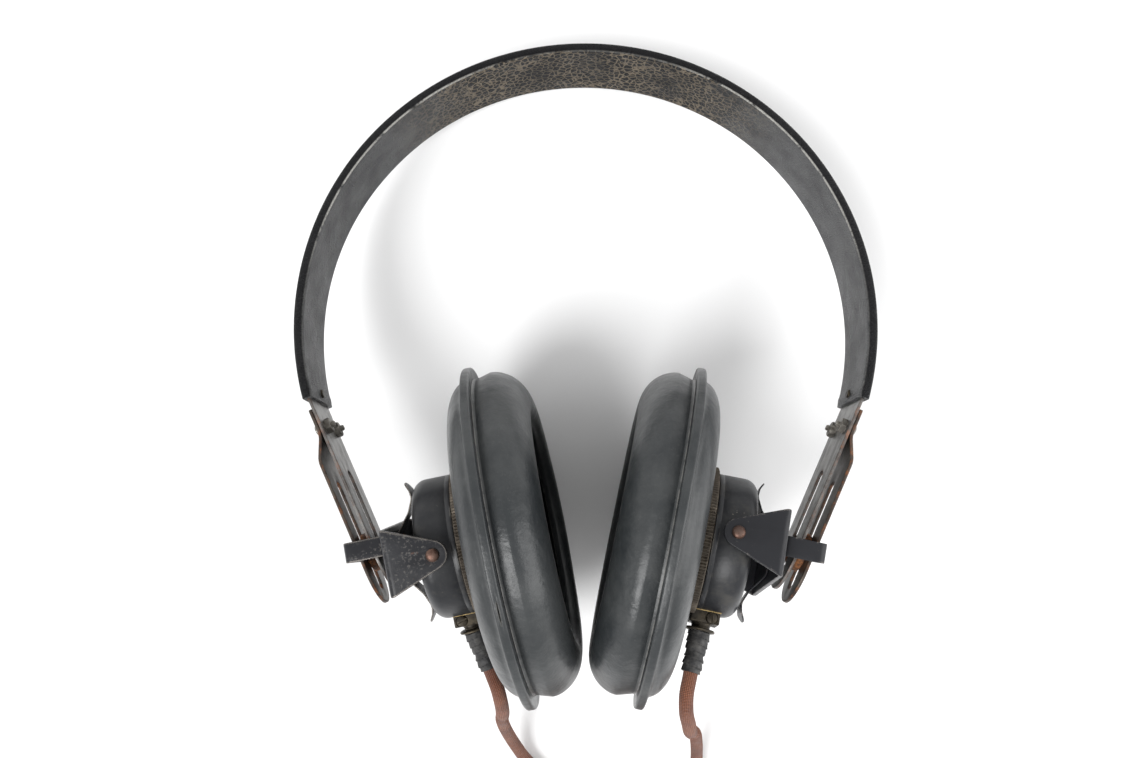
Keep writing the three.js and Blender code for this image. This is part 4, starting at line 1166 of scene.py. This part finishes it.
def add_cover_rivet(side):
    face = BAND_RADIUS + COVER_THICKNESS / 2 + 0.2
    foot = BAND_RADIUS - COVER_THICKNESS / 2 - GAP
    dome = arc((0, face + 0.15), (1.9, 1.0), 0, 80, 8)
    profile = [(0, foot - 0.6), (1.1, foot - 0.6), (1.4, foot - 0.3), (1.4, foot), (0.6, foot), (0.6, face),
               (1.8, face), *dome, (0, face + 1.15)]
    stand_for(f"{side.name}_cover_rivet", lathe(profile, 32), mirrored(side) @ turn(RIVET_ANGLE, "Z"),
              MATERIAL.gland)


# ---------------------------------------------------------------- slider and yoke


def paint_of(side):
    return MATERIAL.paint_left if side.name == "left" else MATERIAL.paint_right


def add_slider(side):
    half = STRIP_SPACING / 2 - STRIP_THICKNESS / 2 - 0.1
    disc = [(BOLT_RADIUS + 0.2, -half), (DISC_RADIUS - 0.3, -half), (DISC_RADIUS, -half + 0.3),
            (DISC_RADIUS, half - 0.3), (DISC_RADIUS - 0.3, half), (BOLT_RADIUS + 0.2, half)]
    here = arm_frame(side) @ shift(STRIP_SPACING / 2, -SLIDER_PLACE, side.play)
    stand_for(f"{side.name}_friction_disc", lathe(disc, 64, closed=True), here, MATERIAL.rust)

    middle = STIRRUP_THICKNESS / 2
    near, far = STIRRUP_START + middle, STIRRUP_END - middle
    wide = STIRRUP_INSIDE / 2 + middle
    fold = Fold([(near, 0.2), (near, wide), (far, wide), (far, -wide), (near, -wide), (near, -0.2)], 1.7)
    low = STIRRUP_HEIGHT / 2
    outline = [(0, -low), (fold.length, -low), (fold.length, low), (0, low)]
    bm = bent_sheet(outline, [], STIRRUP_THICKNESS, 0.22, fold.cuts(), fold)
    for vertex in bm.verts:
        spot = vertex.co * 0.22 + Vector((0, 0, side.mirror * 7))
        vertex.co.y += 0.16 * noise.noise(spot) * (vertex.co.y / low)
        vertex.co.x += 0.10 * noise.noise(spot + Vector((5, 5, 5)))
    stand_for(f"{side.name}_stirrup", bm, slider_frame(side), paint_of(side))

    head_face = PLATE_INSIDE - PIVOT_IN - 2 * GAP - SPRING_THICKNESS - 0.1
    end = STIRRUP_END + 0.7
    bolt = [(0, head_face - 1.1), (BOLT_HEAD_RADIUS * 0.55, head_face - 1.05),
            (BOLT_HEAD_RADIUS * 0.85, head_face - 0.75), (BOLT_HEAD_RADIUS, head_face - 0.3),
            (BOLT_HEAD_RADIUS, head_face), (BOLT_RADIUS, head_face), (BOLT_RADIUS, end - 0.6),
            (BOLT_RADIUS + 0.45, end - 0.5), (BOLT_RADIUS + 0.35, end - 0.1),
             (BOLT_RADIUS * 0.6, end), (0, end)]
    stand_for(f"{side.name}_swivel_bolt", lathe(bolt, 40), slider_frame(side), MATERIAL.rust)


def add_yoke(side):
    """Sheet metal folded at two bends: a plate behind the receiver and an ear on each side of it."""
    back, ear = PLATE_INSIDE + SHEET / 2, EAR_INSIDE + SHEET / 2
    fold = Fold([(-EAR_TIP_RADIUS, ear), (back, ear), (back, -ear), (-EAR_TIP_RADIUS, -ear)], 1.5)
    total, high = fold.length, PLATE_HALF_HEIGHT
    to_bend = back + EAR_TIP_RADIUS
    reach = math.hypot(to_bend - EAR_TIP_RADIUS, high)
    tangent = math.degrees(math.atan2(high, to_bend - EAR_TIP_RADIUS) + math.acos(EAR_TIP_RADIUS / reach))
    tip = arc((EAR_TIP_RADIUS, 0), EAR_TIP_RADIUS, tangent, 360 - tangent, 24)
    corner = 0.7
    start = to_bend - 1.0
    first = [(start + corner * 0.3, -high + corner * 0.15), (start + corner, -high)]
    outline = [*tip, *first]
    outline += [(total - x, y) for x, y in reversed(first)]
    outline += [(total - x, -y) for x, y in tip]
    outline += [(total - x, -y) for x, y in first] + [(x, -y) for x, y in reversed(first)]
    holes = [circle(x, 0, PIVOT_RADIUS + GAP, 24) for x in (EAR_TIP_RADIUS, total - EAR_TIP_RADIUS)]
    holes.append(circle(total / 2, PIVOT_DOWN, BOLT_RADIUS + GAP, 24))
    bm = bent_sheet(outline, holes, SHEET, 0.25, fold.cuts(), fold)
    stand_for(f"{side.name}_yoke", bm, cup_frame(side), paint_of(side))

    seat = PLATE_INSIDE - GAP - SPRING_THICKNESS / 2
    half = [(seat, 0), (seat, 6.8), (8.0, 12.2), (6.25, 16.2), (6.6, 18.8), (8.0, 21.2)]
    corners = [(x, -y) for x, y in reversed(half[1:])] + half[1:]
    line = Fold(corners, 3.0, 5)
    wide, tip_length = SPRING_WIDTH / 2, 3.0
    rounded = [*arc((tip_length, 0), (tip_length, wide), 90, 270, 16),
               *arc((line.length - tip_length, 0), (tip_length, wide), -90, 90, 16)]
    bolt_hole = circle(line.length / 2 + PIVOT_DOWN, 0, BOLT_RADIUS + GAP, 20)
    leaf = bent_sheet(rounded, [bolt_hole], SPRING_THICKNESS, 0.1, line.cuts(), line)
    piece = stand_for(f"{side.name}_leaf_spring", leaf, cup_frame(side) @ UPRIGHT, paint_of(side))
    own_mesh(piece)


# ---------------------------------------------------------------- ear cup


def sag(side, amount, seed):
    """A warp that makes moulded rubber a little uneven."""

    def warp(radius, place, angle):
        spot = Vector((place * 0.05 + seed, math.cos(angle) * 1.6, math.sin(angle) * 1.6 + side.mirror))
        finer = Vector((place * 0.16 + seed, math.cos(angle) * 5, math.sin(angle) * 5 + side.mirror))
        waver = noise.noise(spot) + 0.25 * noise.noise(finer)
        return radius + amount * waver, place + amount * 0.5 * noise.noise(spot + Vector((9, 4, 2)))

    return warp


CRACK = SimpleNamespace(angle=math.radians(108), reach=math.radians(5), depth=1.1)


def add_rear_shell(side):
    front, back = -FLANGE_THICKNESS / 2, FLANGE_THICKNESS / 2
    corner = (REAR_RADIUS - REAR_CORNER[0], REAR_DEPTH - REAR_CORNER[1])
    hole = NECK_RADIUS + GAP
    easing = 0.7
    profile = [(REAR_RADIUS - RUBBER_WALL, front)]
    profile += [(FLANGE_RADIUS - 3.2, front), (FLANGE_RADIUS - 1.6, front)]
    profile += arc((FLANGE_RADIUS - easing, front + easing), easing, -90, 0, 4)
    profile += [(FLANGE_RADIUS, -0.22), (FLANGE_RADIUS, 0), (FLANGE_RADIUS, 0.22)]
    profile += arc((FLANGE_RADIUS - easing, back - easing), easing, 0, 90, 4)
    profile += [(REAR_RADIUS + 1.5, back), (REAR_RADIUS + 0.5, back + 0.2), (REAR_RADIUS, back + 0.8)]
    profile += arc(corner, REAR_CORNER, 14, 90, 20)
    profile += [(corner[0] - 4, REAR_DEPTH), (28, REAR_DEPTH - 0.1), (24, REAR_DEPTH), (hole + 0.4, REAR_DEPTH)]
    profile += [(hole, REAR_DEPTH - 0.4), (hole, REAR_DEPTH - RUBBER_WALL)]
    profile += arc(corner, (REAR_CORNER[0] - RUBBER_WALL, REAR_CORNER[1] - RUBBER_WALL), 90, 0, 10)
    uneven = sag(side, 0.28, 2)

    def warp(radius, place, angle):
        r, x = uneven(radius, place, angle)
        still = min(1.0, max(0.0, (radius - hole - 2) / 12))
        r, x = radius + (r - radius) * still, place + (x - place) * still
        if side.name == "left" and radius == FLANGE_RADIUS and place == 0:
            away = abs(angle - CRACK.angle) / CRACK.reach
            if away < 1:
                r -= CRACK.depth * (1 - away)
        return r, x

    bm = lathe(profile, 288, closed=True, warp=warp)
    flange = cup_frame(side) @ shift(FLANGE_PLACE, 0, 0)
    stand_for(f"{side.name}_rear_shell", bm, flange, MATERIAL.rubber, sharp=50)


def add_ear_cushion(side):
    back = -FLANGE_THICKNESS / 2 - 0.05
    lip = (EAR_OPENING_RADIUS + LIP_RADIUS, -CUSHION_DEPTH + LIP_RADIUS)
    bulge = (CUSHION_RADIUS - lip[0], 10.4)
    centre = (lip[0], -CUSHION_DEPTH + bulge[1])
    inner = (bulge[0] - RUBBER_WALL, bulge[1] - RUBBER_WALL)
    profile = [(CUSHION_NECK_RADIUS - RUBBER_WALL, back)]
    profile += arc(centre, inner, 0, -80, 14)
    profile += [(EAR_OPENING_RADIUS + 1, lip[1] + 1.6)]
    profile += arc(lip, LIP_RADIUS, 180, 270, 10)
    profile += arc(centre, bulge, -84, 0, 30)
    profile += arc((CUSHION_NECK_RADIUS + 1.0, back - 1.7), (1.0, 2.6), 165, 175, 2)
    profile += [(CUSHION_NECK_RADIUS, back - 0.5), (CUSHION_NECK_RADIUS + 0.2, back)]
    uneven = sag(side, 0.3, 11)

    def warp(radius, place, angle):
        # Soft rubber: the half towards the viewer has settled back a little, and the other half forward.
        r, x = uneven(radius, place, angle)
        share = min(1.0, max(0.0, (back - place) / 10))
        return r, x + share * CUSHION_SETTLING * (math.sin(angle) + 0.4) * radius / CUSHION_RADIUS

    bm = lathe(profile, 240, closed=True, warp=warp)
    flange = cup_frame(side) @ shift(FLANGE_PLACE, 0, 0)
    stand_for(f"{side.name}_ear_cushion", bm, flange, MATERIAL.rubber, sharp=50)


def add_receiver(side):
    here = cup_frame(side)
    corner = (CAN_RADIUS - CAN_CORNER, CAN_BACK - CAN_CORNER)
    can = [(0, CAN_BACK - CAN_WALL), *arc(corner, CAN_CORNER - CAN_WALL, 90, 0, 10),
           (CAN_RADIUS - CAN_WALL, CAN_MOUTH), (CAN_RADIUS - 0.15, CAN_MOUTH), (CAN_RADIUS, CAN_MOUTH + 0.15),
           (CAN_RADIUS, CAN_MOUTH + 1.3), (CAN_RADIUS - 0.12, CAN_MOUTH + 1.45),
            (CAN_RADIUS - 0.12, CAN_MOUTH + 1.6),
           (CAN_RADIUS, CAN_MOUTH + 1.75), *arc(corner, CAN_CORNER, 0, 90, 16),
           (CAN_RADIUS - CAN_CORNER - 4, CAN_BACK + 0.05), (0, CAN_BACK + 0.1)]

    def dented(radius, place, angle):
        spot = Vector((place * 0.06, math.cos(angle) * 2 + side.mirror, math.sin(angle) * 2))
        return radius + 0.12 * noise.noise(spot), place

    stand_for(f"{side.name}_capsule_can", lathe(can, 128, warp=dented), here, MATERIAL.can, sharp=45)

    middle = CAN_MOUTH - GAP - RING_WIDTH / 2
    low, high, hole = middle - RING_WIDTH / 2, middle + RING_WIDTH / 2, NECK_RADIUS + GAP
    ring = [(hole, low), (RING_RADIUS - 0.5, low), (RING_RADIUS, low + 0.3), (RING_RADIUS, middle),
            (RING_RADIUS, high - 0.3), (RING_RADIUS - 0.5, high), (hole, high)]
    notch = math.asin((BLOCK.half + GAP) / RING_RADIUS)

    def knurled(radius, place, angle):
        if radius < RING_RADIUS - 1:
            return radius, place
        away = abs(angle - math.pi)
        if away < notch:
            return 21.1, place
        tooth = round(angle / ROUND * 2 * RING_TEETH) % 2
        return radius - (0.45 if tooth and low < place < high else 0.0), place

    stand_for(f"{side.name}_knurled_ring", lathe(ring, 2 * RING_TEETH, closed=True, warp=knurled), here,
              MATERIAL.ring, sharp=25)

    plate_back = FLANGE_PLACE + REAR_DEPTH - RUBBER_WALL - 0.05
    holes = [circle(0, 0, 1.5, 20)]
    for count, out in ((6, 6.0), (12, 11.0)):
        holes += [circle(out * math.cos(ROUND * i / count), out * math.sin(ROUND * i / count), 1.3, 20)
                  for i in range(count)]
    grille = flat_sheet(circle(0, 0, CAP_RADIUS - 5.5, 96), holes, 1.0, 0.25)
    grille.transform(turn(math.pi / 2, "Y"))
    grille.transform(shift(plate_back - 1.6, 0, 0))
    rim = [(CAP_RADIUS - 6, plate_back - 1.1), (CAP_RADIUS - 6, plate_back - 2.0),
           (CAP_RADIUS - 4.5, plate_back - 2.4),
           *arc((CAP_RADIUS - 1.2, plate_back - 1.2), 1.2, -90, 0, 6), (CAP_RADIUS, plate_back),
           (NECK_RADIUS, plate_back), (NECK_RADIUS, CAN_MOUTH - 1.2), (NECK_RADIUS - 1.6, CAN_MOUTH - 1.2),
           (NECK_RADIUS - 1.6, plate_back - 1.1)]
    cap = joined(grille, lathe(rim, 96, closed=True))
    stand_for(f"{side.name}_receiver_cap", cap, here, MATERIAL.bakelite)


def add_pivots(side):
    face = EAR_INSIDE + SHEET + 0.05
    head = PIVOT_HEAD_RADIUS
    dome = arc((0, face + 0.2), (head, 1.1), 0, 81, 9)
    foot = CAN_RADIUS - CAN_WALL - GAP
    profile = [(0, foot - 0.8), (head, foot - 0.8), (head, foot), (PIVOT_RADIUS, foot), (PIVOT_RADIUS, face),
               (head - 0.1, face), *dome, (0, face + 1.3)]
    for name, flip in (("near", -math.pi / 2), ("far", math.pi / 2)):
        stand_for(f"{side.name}_pivot_rivet_{name}", lathe(profile, 40), cup_frame(side) @ turn(flip, "Y"),
                  MATERIAL.rivet)


def add_cable_entry(side):
    here = cup_frame(side)
    low, high = BLOCK.bottom, -20.2
    body = block((BLOCK.start, low, -BLOCK.half), (BLOCK.end, high, BLOCK.half), 0.35)
    rod = lathe([(0, -20), (CAN_RADIUS + 0.05, -20), (CAN_RADIUS + 0.05, 20), (0, 20)], 128)
    body = carved(body, rod)
    sunk, clear = BLOCK.half - 0.6, BLOCK.half + 2
    seat = lathe([(0, sunk), (1.9, sunk), (1.9, clear), (0, clear)], 32)
    at_screw = shift(BLOCK.screw, low + 1.7, 0)
    seat.transform(at_screw @ turn(-math.pi / 2, "Y"))
    body = carved(body, seat)
    plate = block((BLOCK.start - 0.1, low + 3.35, -BLOCK.half - 0.12),
                  (BLOCK.end + 0.1, low + 3.7, BLOCK.half + 0.12), 0.08)
    neck = [(0, 1), (2.9, 1), (2.9, -0.4), (2.7, -0.9), (2.8, -1.3), (NIPPLE_RADIUS - 0.3, -1.5)]
    neck += [(NIPPLE_RADIUS, -1.8), (NIPPLE_RADIUS - 0.1, -2.2), (NIPPLE_RADIUS - 0.6, -2.35),
             (3.2, -2.3), (0, -2.2)]
    nipple = lathe(neck, 48)
    nipple.transform(shift(BLOCK.entry, low, 0) @ turn(side.lean / 2, "Z") @ turn(math.pi / 2, "Z"))
    stand_for(f"{side.name}_cable_gland", joined(body, nipple), here, MATERIAL.gland)
    name = f"{side.name}_gland_plate"
    brass = add_object(name, to_mesh(name, plate, here), MATERIAL.brass)
    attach(brass, BODY_OF[f"{side.name}_cable_gland"])

    face = BLOCK.half + 0.1
    head = [(0, 1.5), (0.8, 1.5), (0.8, face - 0.6), (1.6, face - 0.6), (1.65, face), (1.5, face + 0.35),
            (0.9, face + 0.6), (0, face + 0.65)]
    screw = slotted(lathe(head, 36), face + 0.65, 0.55, 0.22, 4)
    screw.transform(turn(-math.pi / 2, "Y"))
    screw_turn = turn(math.radians(8 if side.name == "right" else 70), "Z")
    stand_for(f"{side.name}_clamp_screw", screw, here @ at_screw @ screw_turn, MATERIAL.gland)


def add_sleeve(side):
    start = BLOCK.bottom - 0.6 - NIPPLE_THICKNESS - 2 * GAP
    moved = math.sin(side.lean / 2) * (BLOCK.bottom - start)
    here = cup_frame(side) @ shift(BLOCK.entry + moved, start, 0)
    here = here @ turn(side.lean, "Z") @ turn(-math.pi / 2, "Z")
    top, end = SLEEVE_RADIUS

    def radius_at(place):
        t = max(0.0, min(1.0, place / SLEEVE_LENGTH))
        waist = 0.28 * math.exp(-((place - 6.2) / 1.1) ** 2)
        return top - 0.35 + (end - top + 0.5) * t - waist

    bm = wrapped(radius_at, -0.2, SLEEVE_LENGTH - 0.5, 2.1, 0.42, rings=90)
    node = f"{side.name}_sleeve"
    stand_for(node, bm, here, MATERIAL.tape)
    for suffix, place, size, material in (("string", SLEEVE_LENGTH - 0.9, 0.3, MATERIAL.string),
                                          ("thread", SLEEVE_LENGTH - 1.6, 0.26, MATERIAL.tape)):
        loop = lathe(arc((end - 0.1, place), size, 0, 324, 9), 48, closed=True)
        name = f"{node}_{suffix}"
        ring = add_object(name, to_mesh(name, loop, here), material)
        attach(ring, BODY_OF[node])


# ---------------------------------------------------------------- assembly

add_leather()
add_spring_band()
for each_side in SIDES:
    add_outer_strip(each_side)
    add_screws(each_side)
    add_cover_rivet(each_side)
    add_slider(each_side)
    add_yoke(each_side)
    add_rear_shell(each_side)
    add_ear_cushion(each_side)
    add_receiver(each_side)
    add_pivots(each_side)
    add_cable_entry(each_side)
    add_sleeve(each_side)
    for inner_part, inner_material in (("diaphragm", MATERIAL.steel), ("magnet", MATERIAL.steel),
                                       ("coil_upper", MATERIAL.copper), ("coil_lower", MATERIAL.copper)):
        node_object = frame["nodes"][f"{each_side.name}_{inner_part}"]
        node_object.data.materials.clear()
        node_object.data.materials.append(inner_material)


def add_floor():
    bm = bmesh.new()
    bmesh.ops.create_grid(bm, x_segments=1, y_segments=1, size=FLOOR_HALF)
    s = Surface("pale_table", (0.86, 0.86, 0.86), 0.7, specular=0.2)
    s.set(base_color=s.mix((0.85, 0.85, 0.852), (0.87, 0.87, 0.87), s.noise(3, 2)))
    floor = add_object("floor", to_mesh("floor", bm, Matrix.Identity(4)), s.material)
    floor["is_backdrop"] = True


def add_key_light():
    """Broad light from the left, a little from the viewer's side."""
    data = bpy.data.lights.new("key", "SUN")
    data.energy = 2.4
    data.angle = math.radians(32)
    light = bpy.data.objects.new("key", data)
    light.rotation_euler = Vector((0.46, 0.30, -0.84)).to_track_quat("-Z", "Y").to_euler()
    scene.collection.objects.link(light)


def add_fill_light():
    """A soft box near the right end of the table."""
    data = bpy.data.lights.new("fill", "AREA")
    data.energy = 2.2
    data.shape = "SQUARE"
    data.size = 0.5
    light = bpy.data.objects.new("fill", data)
    light.location = (0.55, -0.05, 0.36)
    light.rotation_euler = (Vector((0.08, 0.0, 0.0)) - light.location).to_track_quat("-Z", "Y").to_euler()
    scene.collection.objects.link(light)


def add_world():
    world = bpy.data.worlds.new("studio")
    world.use_nodes = True
    background = world.node_tree.nodes["Background"]
    background.inputs["Color"].default_value = (1, 1, 1, 1)
    background.inputs["Strength"].default_value = 0.84
    scene.world = world


add_floor()
add_key_light()
add_fill_light()
add_world()
scene.view_settings.view_transform = "Standard"

boxes = {"cad": CAD_BOX, "visual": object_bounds()}
boxes = {name: [list(corner) for corner in box] for name, box in boxes.items()}
